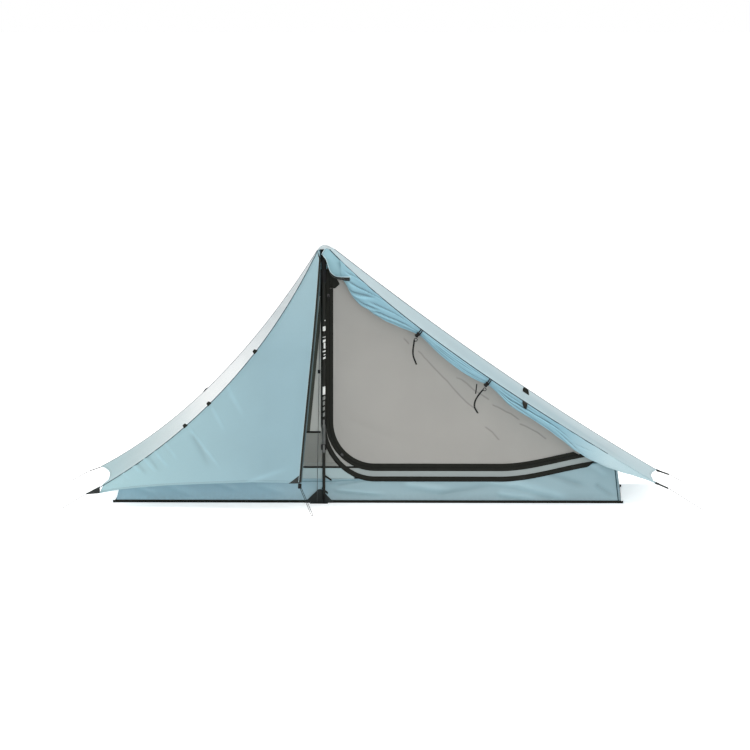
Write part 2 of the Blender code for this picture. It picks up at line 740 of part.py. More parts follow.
def make_front_wall():
    """The inner's front wall beside, above and below its door."""
    coil_x = DOOR_LEFT_X - COIL_OFFSET
    back_y = FRONT_Y + CLOTH
    vent_share = share_at_height(INNER_NEAR_LEFT, VENT_TOP)
    crown_z = INNER_NEAR_LEFT(0.0).z - CLOTH
    panel = ridge_outline(INNER_NEAR_LEFT, 0.0, vent_share, RIDGE_STEPS)
    panel += [(coil_x - COIL_GAP, VENT_TOP), (coil_x - COIL_GAP, crown_z)]
    plate("inner_front_panel", panel, back_y, CLOTH, INNER_GREY)
    top = VENT_TOP - CLOTH
    seam_drop = DOOR_BOTTOM_Z - WALL_HEIGHT - SEAM_LIFT
    sill = door_path(COIL_OFFSET + COIL_GAP, COIL_OFFSET + COIL_GAP, ZIP_BAND_END_X, top)
    outer = door_path(TAPE_SIDE, seam_drop, ZIP_BAND_END_X, top)
    sill = [point for point in sill if point[1] <= top]
    outer = [point for point in outer if point[1] <= top]
    plate("door_sill", sill + outer[::-1], back_y, CLOTH, SILL_GREY)
    vent = ridge_outline(INNER_NEAR_LEFT, vent_share, 1.0, RIDGE_STEPS)
    vent[0] = (vent[0][0], top)
    low = WALL_HEIGHT + SEAM_LIFT
    vent += [(x, front_wall_top(x) + SEAM_LIFT) for x in fall_stations()[1:]]
    corner_end_x = DOOR_LEFT_X + DOOR_CORNER_RADIUS
    round_corner = [point for point in door_path(TAPE_SIDE + CLOTH, seam_drop, ZIP_BAND_END_X, top)
                    if low + VENT_CORNER_FOOT < point[1] <= top and point[0] < corner_end_x]
    vent.append((round_corner[-1][0], low))
    vent += round_corner[::-1]
    plate("inner_vent_strip", vent, back_y, CLOTH, MESH_GREY)
    make_door_header(back_y, coil_x)


def make_door_header(back_y, coil_x):
    """The fixed cloth between the door's hinge line and the inner's right ridge."""
    hinge_end = foot_meets_hinge(COIL_OFFSET, HINGE_CLEARANCE)
    edge = ridge_outline(INNER_NEAR_RIGHT, 0.0, 1.0, RIDGE_STEPS + 4)
    left_x = coil_x + COIL_GAP
    edge = [point for point in edge if point[0] > left_x + CLOTH]
    header = [(left_x, edge[0][1]), *edge]
    foot_x = ZIP_BAND_END_X + CLOTH
    for x in rise_stations(foot_x, RIGHT_TOP_X)[::-1]:
        header.append((x, front_wall_top(x) + SEAM_LIFT))
    for x in rise_stations(hinge_end, foot_x)[::-1]:
        header.append((x, DOOR_BOTTOM_Z - COIL_OFFSET + front_rise(x)))
    header.append((left_x, hinge_z(left_x) + HINGE_CLEARANCE))
    plate("inner_door_header", header, back_y, CLOTH, INNER_GREY)


def make_front_tapes():
    """The black tapes on the front wall: round the door, and at the left seam and vent."""
    crown_z = INNER_NEAR_LEFT(0.0).z - CLOTH
    start = COIL_OFFSET + COIL_GAP / 2
    inner = door_path(start, start, ZIP_BAND_END_X, crown_z)
    split = door_path(ZIP_BAND, ZIP_BAND, ZIP_BAND_END_X, crown_z)[SPLIT_STEPS + 1:]
    sill = door_path(ZIP_BAND, SILL_LOWER, SILL_BAND_END_X, crown_z)[SPLIT_STEPS + 1:]
    outer = door_path(TAPE_SIDE, TAPE_LOWER, SILL_BAND_END_X, crown_z)
    outline = inner + split[::-1] + sill + outer[::-1]
    plate("door_frame_tape", outline, TAPE_FACE_Y, TAPE, BLACK)
    half = FRONT_TAPE_WIDTH / 2
    right_x = DOOR_LEFT_X - TAPE_SIDE - GAP
    upper_x = right_x - half
    lower_x = upper_x - FRONT_TAPE_SLANT
    end_x = INNER_NEAR_LEFT(share_at_height(INNER_NEAR_LEFT, VENT_TOP)).x + VENT_BINDING_INSET
    low, high = VENT_TOP - VENT_BINDING / 2, VENT_TOP + VENT_BINDING / 2
    top_z = PEAK_Z - FRONT_TAPE_DROP
    seam = [
        (upper_x - half, top_z), (lower_x - half, high), (end_x, high), (end_x, low),
        (right_x, low), (right_x, high), (lower_x + half, high), (right_x, top_z),
    ]
    plate("inner_front_tape", seam, TAPE_FACE_Y, TAPE, BLACK)


def make_inner_door():
    """The inner door and the zip tape sewn round its free edge."""
    start = COIL_OFFSET - COIL_GAP / 2
    edge_x = DOOR_LEFT_X - start
    end_x = foot_meets_hinge(start, -HINGE_CLEARANCE)
    door = door_path(start, start, end_x, hinge_z(edge_x) - HINGE_CLEARANCE)
    plate("inner_door", door, FRONT_Y + CLOTH, CLOTH, INNER_GREY)
    top = hinge_z(DOOR_LEFT_X) - 4 * HINGE_CLEARANCE
    outer = door_path(start, start, end_x - ZIP_TAPE_SHORT, top)
    inner = door_path(0.0, 0.0, foot_meets_hinge(0.0, -HINGE_CLEARANCE) - ZIP_TAPE_SHORT, top)
    plate("door_zip_tape", outer + inner[::-1], TAPE_FACE_Y, TAPE, BLACK)


def make_zip_sliders():
    """Two sliders on the frame side of the coil: one on the straight run, one in the round corner."""
    width, depth, height = SLIDER_SIZE
    y = SLIDER_FACE_Y - depth / 2
    x = DOOR_LEFT_X - COIL_OFFSET - COIL_GAP / 2 - width / 2
    upper_z = PEAK_Z - SLIDER_DROP
    box("zip_slider_upper", SLIDER_SIZE, Matrix.Translation((x, y, upper_z)), TUBE_GREY, bevel=0.001,
        roughness=0.35, metallic=1.0)
    pull_y = SLIDER_FACE_Y - depth - GAP - PULL_THICKNESS / 2
    turn = Matrix.Rotation(math.radians(90.0), 4, "Z") @ Matrix.Rotation(math.radians(90.0), 4, "X")
    stadium("zip_pull_upper", PULL_LENGTH, PULL_THICKNESS, PULL_WIDTH,
            Matrix.Translation((x, pull_y, upper_z)) @ turn, BLACK)
    centre = Vector((DOOR_LEFT_X + DOOR_CORNER_RADIUS, y, DOOR_BOTTOM_Z + DOOR_CORNER_RADIUS))
    out = DOOR_CORNER_RADIUS + COIL_OFFSET + COIL_GAP / 2 + width / 2
    spoke = Matrix.Rotation(math.radians(-SLIDER_ANGLE), 4, "Y") @ Matrix.Translation((-out, 0.0, 0.0))
    box("zip_slider_lower", SLIDER_SIZE, Matrix.Translation(centre) @ spoke, TUBE_GREY, bevel=0.001,
        roughness=0.35, metallic=1.0)


def make_inner_canopy():
    """The inner's two ends and its rear, hung under the fly."""
    for side, near, far in (("left", INNER_NEAR_LEFT, INNER_FAR_LEFT),
                            ("right", INNER_NEAR_RIGHT, INNER_FAR_RIGHT)):
        sheet(f"inner_{side}_end", ruled(near, far, (0.0, 0.0, 0.0)), END_COLUMNS, RIDGE_STEPS, INNER_GREY)
    sheet("inner_rear_wall", rear_canopy, REAR_COLUMNS, RIDGE_STEPS, INNER_GREY)
    strap_front = POLE_Y + GRIP_RADIUS + GAP + SOCKET_WALL + GAP
    strap_back = TAPE_FACE_Y - TAPE - GAP
    top_z = PEAK_Z - STRAP_TOP_DROP
    low_z = INNER_NEAR_LEFT(0.0).z - STRAP_HOLD
    size = (STRAP_WIDTH, strap_back - strap_front, top_z - low_z)
    place = Matrix.Translation((POLE_X, (strap_back + strap_front) / 2, (top_z + low_z) / 2))
    box("inner_apex_strap", size, place, BLACK)


def make_fly_panels():
    """The fly's rear, its two ends, its shut left door and the rolled door's flap at the peak."""
    sheet("fly_rear_panel", fly_rear, PANEL_STEPS + 4, RIDGE_STEPS, SKY_BLUE)
    sheet("fly_left_end_panel", fly_left_end, PANEL_STEPS, RIDGE_STEPS, SKY_BLUE)
    sheet("fly_right_end_panel", fly_right_end, PANEL_STEPS, RIDGE_STEPS, SKY_BLUE)
    sheet("fly_left_door", fly_door, PANEL_STEPS, RIDGE_STEPS, SKY_BLUE)
    collar = [(POLE_X + x, PEAK_Z + z) for x, z in COLLAR_OUTLINE]
    plate("fly_door_collar", collar, POLE_Y - COLLAR_STANDOFF, CLOTH, SKY_BLUE)


def make_peak():
    """The cap sewn over the peak and the cup under it that sits on the pole's grip."""
    corners = (NEAR_LEFT, FAR_LEFT, FAR_RIGHT, NEAR_RIGHT)
    lift = Vector((0.0, 0.0, CAP_CLEARANCE / 2))
    rings = []
    for share in (0.0, CAP_SKIRT):
        ring = []
        for index, controls in enumerate(corners):
            here = bezier(controls, share)
            after = bezier(corners[(index + 1) % 4], share)
            for point in (here, here.lerp(after, 0.5)):
                out = Vector((point.x - POLE_X, point.y - POLE_Y, 0.0)).normalized()
                ring.append(point + out * CAP_CLEARANCE + lift)
        rings.append(ring)
    shape = bmesh.new()
    peak = shape.verts.new((POLE_X, POLE_Y, PEAK_Z))
    upper, lower = ([shape.verts.new(point) for point in ring] for ring in rings)
    for index in range(8):
        after = (index + 1) % 8
        shape.faces.new((peak, upper[index], upper[after]))
        shape.faces.new((upper[index], lower[index], lower[after], upper[after]))
    solidify(mesh_object("fly_apex_cap", shape, SKY_BLUE), CLOTH)
    make_socket()


def socket_ceiling():
    """Height of the cup's ceiling, on which the grip bears."""
    return PEAK_Z - CLOTH - GAP - SOCKET_DOME


def make_socket():
    """The black cup between the grip and the cap."""
    bore = GRIP_RADIUS + GAP
    rim = bore + SOCKET_WALL
    top = PEAK_Z - CLOTH - GAP
    ceiling = socket_ceiling()
    foot = ceiling - SOCKET_DEPTH
    shoulder = (rim * SOCKET_SHOULDER[0], top - SOCKET_SHOULDER[1])
    profile = [(0.0, top), shoulder, (rim, ceiling), (rim, foot), (bore, foot), (bore, ceiling),
               (0.0, ceiling)]
    turned("fly_apex_socket", profile, (POLE_X, POLE_Y, 0.0), BLACK, steps=20)


def seam_frame(panel, side_u, share):
    """A point on a panel's side, the directions down and across the panel, and its outward normal.

    The panel is read as it is built: straight between its rows and to its next column.
    """
    row = min(math.floor(share * RIDGE_STEPS), RIDGE_STEPS - 1)
    above = panel(side_u, row / RIDGE_STEPS)
    below = panel(side_u, (row + 1) / RIDGE_STEPS)
    column = side_u + math.copysign(1 / PANEL_STEPS, 0.5 - side_u)
    along = (below - above).normalized()
    across = (panel(column, share) - panel(side_u, share)).normalized()
    normal = along.cross(across).normalized()
    if normal.z < 0.0:
        normal = -normal
    return above.lerp(below, share * RIDGE_STEPS - row), along, across, normal


def make_ridge_tapes():
    """A black tape beside each ridge seam, with its sewn guy tabs."""
    layout = (
        ("near_left", fly_left_end, 0.0, NEAR_LEFT, (-0.504, -0.713, -0.819)),
        ("far_left", fly_left_end, 1.0, FAR_LEFT, (-0.762,)),
        ("near_right", fly_right_end, 0.0, NEAR_RIGHT, (0.710,)),
        ("far_right", fly_right_end, 1.0, FAR_RIGHT, (0.715,)),
    )
    lift = CLOTH / 2 + GAP + TAPE / 2
    first = 1 / RIDGE_STEPS
    for side, panel, side_u, controls, tabs in layout:

        def tape(u, v):
            point, _, across, normal = seam_frame(panel, side_u, mix(first, 1.0, v))
            return point + across * RIDGE_TAPE_WIDTH * u + normal * lift

        made = sheet(f"ridge_tape_{side}", tape, 1, RIDGE_STEPS - 1, BLACK, thickness=TAPE)
        for index, tab_x in enumerate(tabs):
            share = share_at_x(curve_of(controls), tab_x)
            point, along, across, normal = seam_frame(panel, side_u, share)
            middle = point + across * RIDGE_TAPE_WIDTH / 2 + normal * (lift + TAB_SIZE[2] / 2)
            frame = Matrix((along, across, normal)).transposed().to_4x4()
            tab = box(f"tab_{side}_{index}", TAB_SIZE, Matrix.Translation(middle) @ frame, BLACK)
            unite(made, tab)


def roll_point(share):
    """Middle, height and depth of the rolled door under its ridge at a share of the ridge."""
    height, depth = spline_value(ROLL_STATIONS, share)
    seam = bezier(NEAR_RIGHT, share)
    centre = seam + Vector((0.0, -ROLL_STANDOFF - depth / 2, -height / 2 - CLOTH))
    return centre, height, depth


def make_roll():
    """The right fly door, rolled up along its ridge, gathered at the ties and flat at the corner.

    Its cloth runs up to the ridge seam that carries it, and lets each tie pass behind.
    """
    shape = bmesh.new()
    first, last = ROLL_STATIONS[0][0], ROLL_STATIONS[-1][0]
    rings = []
    for step in range(ROLL_STEPS + 1):
        share = mix(first, last, step / ROLL_STEPS)
        centre, height, depth = roll_point(share)
        ring = []
        for side in range(ROLL_SIDES):
            angle = 2 * math.pi * side / ROLL_SIDES
            fold = 1.0 - ROLL_FOLD_DEPTH * (1 + math.cos(ROLL_FOLDS * angle + ROLL_FOLD_TWIST * share)) / 2
            offset = Vector((0.0, depth / 2 * math.cos(angle) * fold, height / 2 * math.sin(angle) * fold))
            ring.append(shape.verts.new(centre + offset))
        if min(abs(share - tie) for tie in TIE_SHARES) > ROLL_LIP_BREAK:
            ring[ROLL_LIP_STEPS].co = bezier(NEAR_RIGHT, share)
        rings.append(ring)
    for here, after in zip(rings, rings[1:]):
        for side in range(ROLL_SIDES):
            other = (side + 1) % ROLL_SIDES
            shape.faces.new((here[side], here[other], after[other], after[side]))
    shape.faces.new(rings[0][::-1])
    shape.faces.new(rings[-1])
    bmesh.ops.recalc_face_normals(shape, faces=shape.faces)
    mesh_object("fly_door_roll", shape, SKY_BLUE)


def make_ties():
    """An elastic loop round the roll at each tie, its toggle, and the cord's hanging tail."""
    for index, (share, route) in enumerate(zip(TIE_SHARES, TAIL_ROUTES), start=1):
        centre, height, depth = roll_point(share)
        ring = []
        for side in range(TIE_STEPS):
            angle = 2 * math.pi * side / TIE_STEPS
            reach = Vector((0.0, (depth / 2 + TIE_CLEARANCE) * math.cos(angle),
                            (height / 2 + TIE_CLEARANCE) * math.sin(angle)))
            ring.append(centre + reach)
        loop = as_mesh(tube(f"tie_loop_{index}", ring, TIE_CORD_RADIUS, BLACK, cyclic=True))
        front = centre + Vector((0.0, -depth / 2 - TIE_CLEARANCE - TIE_CORD_RADIUS, 0.0))
        shape = bmesh.new()
        bmesh.ops.create_cone(shape, cap_ends=True, segments=12, radius1=TOGGLE_RADIUS, radius2=TOGGLE_RADIUS,
                              depth=TOGGLE_LENGTH)
        toggle = mesh_object(f"toggle_{index}", shape, BLACK)
        toggle.matrix_world = Matrix.Translation(front) @ Matrix.Rotation(math.radians(TOGGLE_TILT), 4, "Y")
        unite(loop, toggle)
        start = front + Vector((0.0, -TOGGLE_RADIUS - GAP - TIE_CORD_RADIUS, 0.0))
        points = smooth_route([start + Vector(step) for step in route], TAIL_STEPS)
        tube(f"tie_tail_{index}", points, TIE_CORD_RADIUS, BLACK)


def make_corner(name, corner, side_x, side_y):
    """A corner's black patch and the taut line from its tip to the ground."""
    out = Vector((side_x * PATCH_DIRECTION[0], side_y * PATCH_DIRECTION[1], 0.0)).normalized()
    base = corner + out * PATCH_SEAT
    tip = corner + out * PATCH_REACH - Vector((0.0, 0.0, PATCH_FALL))
    half = Vector((0.0, 0.0, PATCH_HEIGHT / 2))
    blunt = half * PATCH_TIP_SHARE
    shape = bmesh.new()
    outline = (base + half, base - half, tip - blunt, tip + blunt)
    shape.faces.new([shape.verts.new(point) for point in outline])
    solidify(mesh_object(f"fly_patch_{name}", shape, BLACK), 2 * CLOTH)
    start = tip + out * (GAP + LINE_RADIUS)
    end = start + out * (start.z - LINE_END_Z) / LINE_FALL
    end.z = LINE_END_Z
    tube(f"guyline_{name}", straight(start, end, 6), LINE_RADIUS, CORD_GREY)


def make_door_tie_out():
    """The patch at the foot of the shut fly door, its line lock and the doubled line to the ground."""
    def patch(u, v):
        row = 1.0 - DOOR_PATCH_SHARES[1] * (1.0 - v)
        column = 1.0 - DOOR_PATCH_SHARES[0] * (1.0 - u) * mix(DOOR_PATCH_TAPER, 1.0, v)
        return fly_door(column, row) + Vector(DOOR_PATCH_LIFT)

    sheet("fly_door_patch", patch, 2, 2, BLACK)
    middle = fly_door(1.0, 1.0) + Vector((LINE_LOCK_SHIFT, 0.0, -LINE_LOCK_SIZE[2] / 2 - CLOTH))
    box("door_line_lock", LINE_LOCK_SIZE, Matrix.Translation(middle), BLACK, bevel=0.001, roughness=0.4)
    start = middle + Vector((0.0, -LINE_LOCK_SIZE[1] / 2 - GAP - LINE_RADIUS, 0.0))
    stake = Vector((DOOR_FOOT.x + DOOR_STAKE_SHIFT[0], DOOR_FOOT.y + DOOR_STAKE_SHIFT[1], LINE_END_Z))
    turn = []
    for step in range(LINE_STEPS + 1):
        angle = math.pi * step / LINE_STEPS
        turn.append(stake - LINE_TURN_RADIUS * Vector((math.cos(angle), math.sin(angle), 0.0)))
    down = straight(start - Vector(LINE_SPREAD), turn[0], LINE_STEPS)
    up = straight(turn[-1], start + Vector(LINE_SPREAD), LINE_STEPS)
    tube("guyline_door", down + turn[1:-1] + up, LINE_RADIUS, CORD_GREY)


def make_tension_cord():
    """The thin cord from the peak to the pole's foot, with its cord lock."""
    top_z = socket_ceiling() - SOCKET_DEPTH - GAP
    top = Vector((POLE_X + TENSION_CORD_TOP[0], POLE_Y + TENSION_CORD_TOP[1], top_z))
    foot_z = FOOT_TAB_THICKNESS + 2 * GAP
    foot = Vector((POLE_X + TENSION_CORD_FOOT[0], POLE_Y + TENSION_CORD_FOOT[1], foot_z))
    tube("tension_cord", straight(top, foot, 8), TENSION_CORD_RADIUS, CORD_GREY)
    middle = top.lerp(foot, (top.z - CORD_LOCK_Z) / (top.z - foot.z))
    bore = TENSION_CORD_RADIUS + GAP
    half = CORD_LOCK_HEIGHT / 2
    profile = [(CORD_LOCK_RADIUS, half), (CORD_LOCK_RADIUS, -half), (bore, -half), (bore, half)]
    lock = turned("cord_lock", profile, (0.0, 0.0, 0.0), BLACK, steps=16)
    lean = (top - foot).to_track_quat("Z", "Y").to_matrix().to_4x4()
    lock.matrix_world = Matrix.Translation(middle) @ lean


def shaft(name, radius, low, high, colour, **finish):
    """One hollow section of the pole."""
    bore = radius - SHAFT_WALL
    profile = [(radius, high), (radius, low), (bore, low), (bore, high)]
    turned(name, profile, (POLE_X, POLE_Y, 0.0), colour, **finish)
    return bore


def clamp_and_lever(name, shaft_radius, low_z, lower_radius):
    """A flick lock at the foot of a section: its ring and the lever that closes on it."""
    bore = shaft_radius + GAP
    inner = lower_radius + GAP
    foot = low_z - CLAMP_HEIGHT / 2
    top = low_z + CLAMP_HEIGHT / 2
    step = low_z - GAP
    cut_in, cut_down = CLAMP_CHAMFER
    profile = [(CLAMP_RADIUS - cut_in, top), (CLAMP_RADIUS, top - cut_down), (CLAMP_RADIUS, foot + cut_down),
               (CLAMP_RADIUS - cut_in, foot), (inner, foot), (inner, step), (bore, step), (bore, top)]
    turned(f"pole_{name}_clamp", profile, (POLE_X, POLE_Y, 0.0), BLACK, roughness=0.4)
    out = CLAMP_RADIUS + GAP + LEVER_THICKNESS / 2
    hinge = Vector((POLE_X, POLE_Y - out, low_z + CLAMP_HEIGHT / 2 - LEVER_THICKNESS))
    turn = Matrix.Rotation(math.radians(90.0), 4, "Z") @ Matrix.Rotation(math.radians(90.0), 4, "X")
    stadium(f"pole_{name}_lever", LEVER_LENGTH, LEVER_THICKNESS, LEVER_WIDTH,
            Matrix.Translation(hinge) @ turn, TUBE_GREY, roughness=0.4)


def make_pole():
    """The pole: grip, three telescoping sections with two flick locks, and its tip."""
    grip_top = socket_ceiling() - GAP
    grip_foot = grip_top - GRIP_LENGTH
    shaft_top = grip_top - GRIP_HOLD
    bore = UPPER_RADIUS + GAP
    profile = [(0.0, grip_top), *((GRIP_RADIUS * share, grip_top - depth) for share, depth in GRIP_OUTLINE),
               (bore, grip_foot), (bore, shaft_top + GAP), (0.0, shaft_top + GAP)]
    turned("pole_grip", profile, (POLE_X, POLE_Y, 0.0), BLACK, roughness=0.8)
    upper_bore = shaft("pole_upper_shaft", UPPER_RADIUS, UPPER_END_Z, shaft_top, BLACK, roughness=0.35)
    middle_radius = upper_bore - GAP
    middle_bore = shaft("pole_middle_shaft", middle_radius, MIDDLE_END_Z, UPPER_END_Z + MIDDLE_HIDDEN,
                        TUBE_GREY, roughness=0.35, metallic=0.6)
    lower_radius = middle_bore - GAP
    shaft("pole_lower_shaft", lower_radius, LOWER_END_Z, MIDDLE_END_Z + LOWER_HIDDEN, BLACK, roughness=0.35)
    clamp_and_lever("upper", UPPER_RADIUS, UPPER_END_Z, middle_radius)
    clamp_and_lever("lower", middle_radius, MIDDLE_END_Z, lower_radius)
    tip_top = LOWER_END_Z - GAP
    foot = FOOT_TAB_THICKNESS + GAP
    profile = [(0.0, tip_top), *((TIP_RADIUS * share, tip_top - depth) for share, depth in TIP_OUTLINE),
               (TIP_RADIUS * TIP_POINT, foot), (0.0, foot)]
    turned("pole_tip", profile, (POLE_X, POLE_Y, 0.0), BLACK, steps=16)


def make_foot_patch():
    """The black triangle at the foot of the front wall and the tab under the pole's tip."""
    left = POLE_X - FOOT_PATCH_LEFT
    right = POLE_X + FOOT_PATCH_RIGHT
    face = FRONT_Y - GAP - TAPE - GAP
    outline = [(left, 0.0), (right, 0.0), *((POLE_X + x, FOOT_PATCH_HEIGHT) for x in FOOT_PATCH_TOP[::-1])]
    patch = as_mesh(plate("pole_foot_patch", outline, face, 2 * CLOTH, BLACK))
    size = (FOOT_TAB_WIDTH, FOOT_TAB_REACH, FOOT_TAB_THICKNESS)
    middle = ((left + right) / 2, face - CLOTH - FOOT_TAB_REACH / 2, FOOT_TAB_THICKNESS / 2)
    tab = box("foot_tab", size, Matrix.Translation(middle), BLACK)
    unite(patch, tab)


def main():
    """Build the tent from the ground up."""
    make_bathtub()
    make_front_wall()
    make_front_tapes()
    make_inner_door()
    make_zip_sliders()
    make_inner_canopy()
    make_fly_panels()
    make_peak()
    make_ridge_tapes()
    make_roll()
    make_ties()
    for name, controls, side_x, side_y in (
        ("near_left", NEAR_LEFT, -1, -1), ("far_left", FAR_LEFT, -1, 1),
        ("near_right", NEAR_RIGHT, 1, -1), ("far_right", FAR_RIGHT, 1, 1),
    ):
        make_corner(name, controls[-1], side_x, side_y)
    make_door_tie_out()
    make_tension_cord()
    make_pole()
    make_foot_patch()


main()
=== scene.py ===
# %% [markdown]
# # A tent on one trekking pole
#
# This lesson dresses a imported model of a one-person tent. The model brings every piece in its place, in
# metres, with the ground at height 0 and the door on the side of negative Y. The cells below make the
# cloth, the cords and the finishes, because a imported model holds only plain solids.
#
# Every new piece is a surface worked out with numpy: a shape is a function of two numbers on a grid.

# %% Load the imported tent
import math
import bpy
import numpy as np
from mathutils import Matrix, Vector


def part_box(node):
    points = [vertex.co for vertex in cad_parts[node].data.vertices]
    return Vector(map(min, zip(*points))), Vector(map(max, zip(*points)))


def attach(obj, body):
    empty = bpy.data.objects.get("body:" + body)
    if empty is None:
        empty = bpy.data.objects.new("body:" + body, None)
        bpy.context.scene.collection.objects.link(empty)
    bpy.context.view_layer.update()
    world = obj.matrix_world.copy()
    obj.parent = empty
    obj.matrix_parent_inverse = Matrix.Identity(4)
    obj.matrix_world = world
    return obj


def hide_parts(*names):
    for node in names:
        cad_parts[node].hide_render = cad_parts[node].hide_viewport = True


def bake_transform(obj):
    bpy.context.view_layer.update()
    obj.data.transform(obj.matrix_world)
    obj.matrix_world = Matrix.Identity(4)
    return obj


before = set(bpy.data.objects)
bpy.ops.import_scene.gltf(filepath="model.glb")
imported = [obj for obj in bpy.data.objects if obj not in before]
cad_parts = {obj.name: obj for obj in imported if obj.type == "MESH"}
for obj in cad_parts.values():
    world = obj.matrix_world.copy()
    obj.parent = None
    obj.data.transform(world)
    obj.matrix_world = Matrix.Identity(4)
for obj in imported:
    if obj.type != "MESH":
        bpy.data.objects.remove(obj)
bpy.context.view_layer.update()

# %% [markdown]
# ## The camera
#
# The photograph was taken from far away with a long lens, so the tent's lines hardly converge. The camera
# stands 40 m away, a little to the right of square and a little above the middle of the tent. A long
# lens on a far camera gives the flat look; a wide lens close by would make the near corners loom.

# %% Camera
scene = bpy.context.scene
VIEW_TARGET = np.array([0.032, -0.43, 0.584])
VIEW_DISTANCE = 40.0
VIEW_TURN, VIEW_RISE = math.radians(1.25), math.radians(4.25)
VIEW_WIDTH = 3.409
SENSOR_WIDTH = 36.0
sight = np.array([math.sin(VIEW_TURN) * math.cos(VIEW_RISE), -math.cos(VIEW_TURN) * math.cos(VIEW_RISE),
                  math.sin(VIEW_RISE)])
lens = bpy.data.cameras.new("camera")
lens.sensor_width = SENSOR_WIDTH
lens.lens = SENSOR_WIDTH * VIEW_DISTANCE / VIEW_WIDTH
lens.clip_end = 5 * VIEW_DISTANCE
camera = bpy.data.objects.new("camera", lens)
camera.location = VIEW_TARGET + VIEW_DISTANCE * sight
camera.rotation_euler = (math.pi / 2 - VIEW_RISE, 0.0, VIEW_TURN)
scene.collection.objects.link(camera)
scene.camera = camera
scene.view_settings.view_transform = "Standard"
print("lens:", round(lens.lens, 1), "mm")

# %% [markdown]
# ## Small tools for surfaces
#
# A seam, a ridge or a hem is a curve; cloth is the surface between two of them. So the tools are few:
# a curve from its control points, a mesh over a grid of points, and the same grid given a thickness.
# Cloth is made as a closed thin shell, front, back and rim, so that its edge shows as a real cut edge.

# %% Curves
def bezier(controls, share):
    """A smooth curve: the sum of C(n, k) (1 - t)^(n - k) t^k times control k, for an array of t."""
    points = np.asarray(controls, float)
    t = np.asarray(share, float)[..., None]
    last = len(points) - 1
    return sum(math.comb(last, k) * (1 - t) ** (last - k) * t ** k * points[k] for k in range(last + 1))


def through(keys, share):
    """A smooth curve through rows of (share, values...): between two keys, a cubic with the slopes of
    the neighbours, (next - previous) / 2."""
    table = np.asarray(keys, float)
    t = np.asarray(share, float)
    index = np.clip(np.searchsorted(table[:, 0], t, side="right") - 1, 0, len(table) - 2)
    last = len(table) - 1
    before, start, end, after = (table[np.clip(index + step, 0, last)] for step in (-1, 0, 1, 2))
    part = np.clip((t - start[..., 0]) / (end[..., 0] - start[..., 0]), 0.0, 1.0)[..., None]
    p0, p1, p2, p3 = (key[..., 1:] for key in (before, start, end, after))
    return 0.5 * (2 * p1 + (p2 - p0) * part + (2 * p0 - 5 * p1 + 4 * p2 - p3) * part ** 2
                  + (3 * p1 - p0 - 3 * p2 + p3) * part ** 3)


def smoothstep(value):
    """An even S from 0 to 1: t t (3 - 2 t)."""
    t = np.clip(value, 0.0, 1.0)
    return t * t * (3.0 - 2.0 * t)


def bump(value, middle, width):
    """A soft hill round middle: exp(-((value - middle) / width)^2)."""
    return np.exp(-((value - middle) / width) ** 2)


def unit(vectors):
    """Vectors scaled to length 1."""
    return vectors / np.maximum(np.linalg.norm(vectors, axis=-1, keepdims=True), 1e-12)


def lengths(points, axis):
    """How far each point lies along the grid in one direction, in metres."""
    steps = np.linalg.norm(np.diff(points, axis=axis), axis=-1)
    pad = [(0, 0)] * steps.ndim
    pad[axis] = (1, 0)
    return np.cumsum(np.pad(steps, pad), axis=axis)


def span(*ends, count):
    """A straight row of points from one end to the other, or a column of numbers."""
    return ends[0] + np.subtract(ends[1], ends[0]) * np.linspace(0.0, 1.0, count)[:, None]


print("a curve's middle:", bezier([(0, 0, 0), (1, 0, 0), (1, 1, 0)], 0.5))

# %% Surfaces
# Places far outside the tent, to say which way a piece faces
IN_FRONT, BEHIND, ABOVE = (0.0, -9.0, 0.5), (0.0, 9.0, 1.0), (0.0, 0.0, 9.0)
CLOTH_THICKNESS = 0.0008


def normals(points):
    """The surface's own direction at every point: the cross product of its two grid directions."""
    along = np.gradient(points, axis=0)
    across = np.gradient(points, axis=1)
    return unit(np.cross(across, along))


def facing(points, outside, values=None):
    """The grid, with its columns reversed if its normals point away from outside, and so its values."""
    middle = points.reshape(-1, 3).mean(axis=0)
    side = (normals(points) * (np.asarray(outside, float) - middle)).sum(axis=-1).mean()
    order = slice(None) if side > 0.0 else slice(None, None, -1)
    return points[:, order] if values is None else (points[:, order], values[:, order])


def between(a, b, columns):
    """The surface between two lines of points: (1 - u) A + u B."""
    u = np.linspace(0.0, 1.0, columns)[None, :, None]
    return a[:, None] * (1 - u) + b[:, None] * u


def grid_quads(rows, columns, wrap=0):
    """Corner numbers of the quads over a grid; with wrap 1 the last column joins the first."""
    here = np.arange(rows)[:, None] * columns + np.arange(columns + wrap)[None, :] % columns
    corners = (here[:-1, :-1], here[1:, :-1], here[1:, 1:], here[:-1, 1:])
    return np.stack(corners, axis=-1).reshape(-1, 4)


def flat_uv(points):
    """A map in metres of cloth: distances along the level direction and down the slope."""
    out = unit(normals(points).mean(axis=(0, 1)))
    level = unit(np.cross(out, (0.0, 0.0, 1.0))) if abs(out[2]) < 0.99 else np.array([1.0, 0.0, 0.0])
    down = np.cross(out, level)
    return np.stack([points @ level, points @ down], axis=-1)


def strip_uv(points):
    """A map in metres along the strip and across it."""
    return np.stack([lengths(points, 0), lengths(points, 1)], axis=-1)


def link_mesh(name, vertices, faces, corner_uv, smooth=True):
    """A mesh object at the origin, with its map given corner by corner."""
    mesh = bpy.data.meshes.new(name)
    mesh.from_pydata(np.asarray(vertices).tolist(), [], [list(map(int, face)) for face in faces])
    layer = mesh.uv_layers.new(name="cloth")
    layer.data.foreach_set("uv", np.asarray(corner_uv, float).reshape(-1))
    mesh.polygons.foreach_set("use_smooth", [smooth] * len(mesh.polygons))
    made = bpy.data.objects.new(name, mesh)
    scene.collection.objects.link(made)
    return made


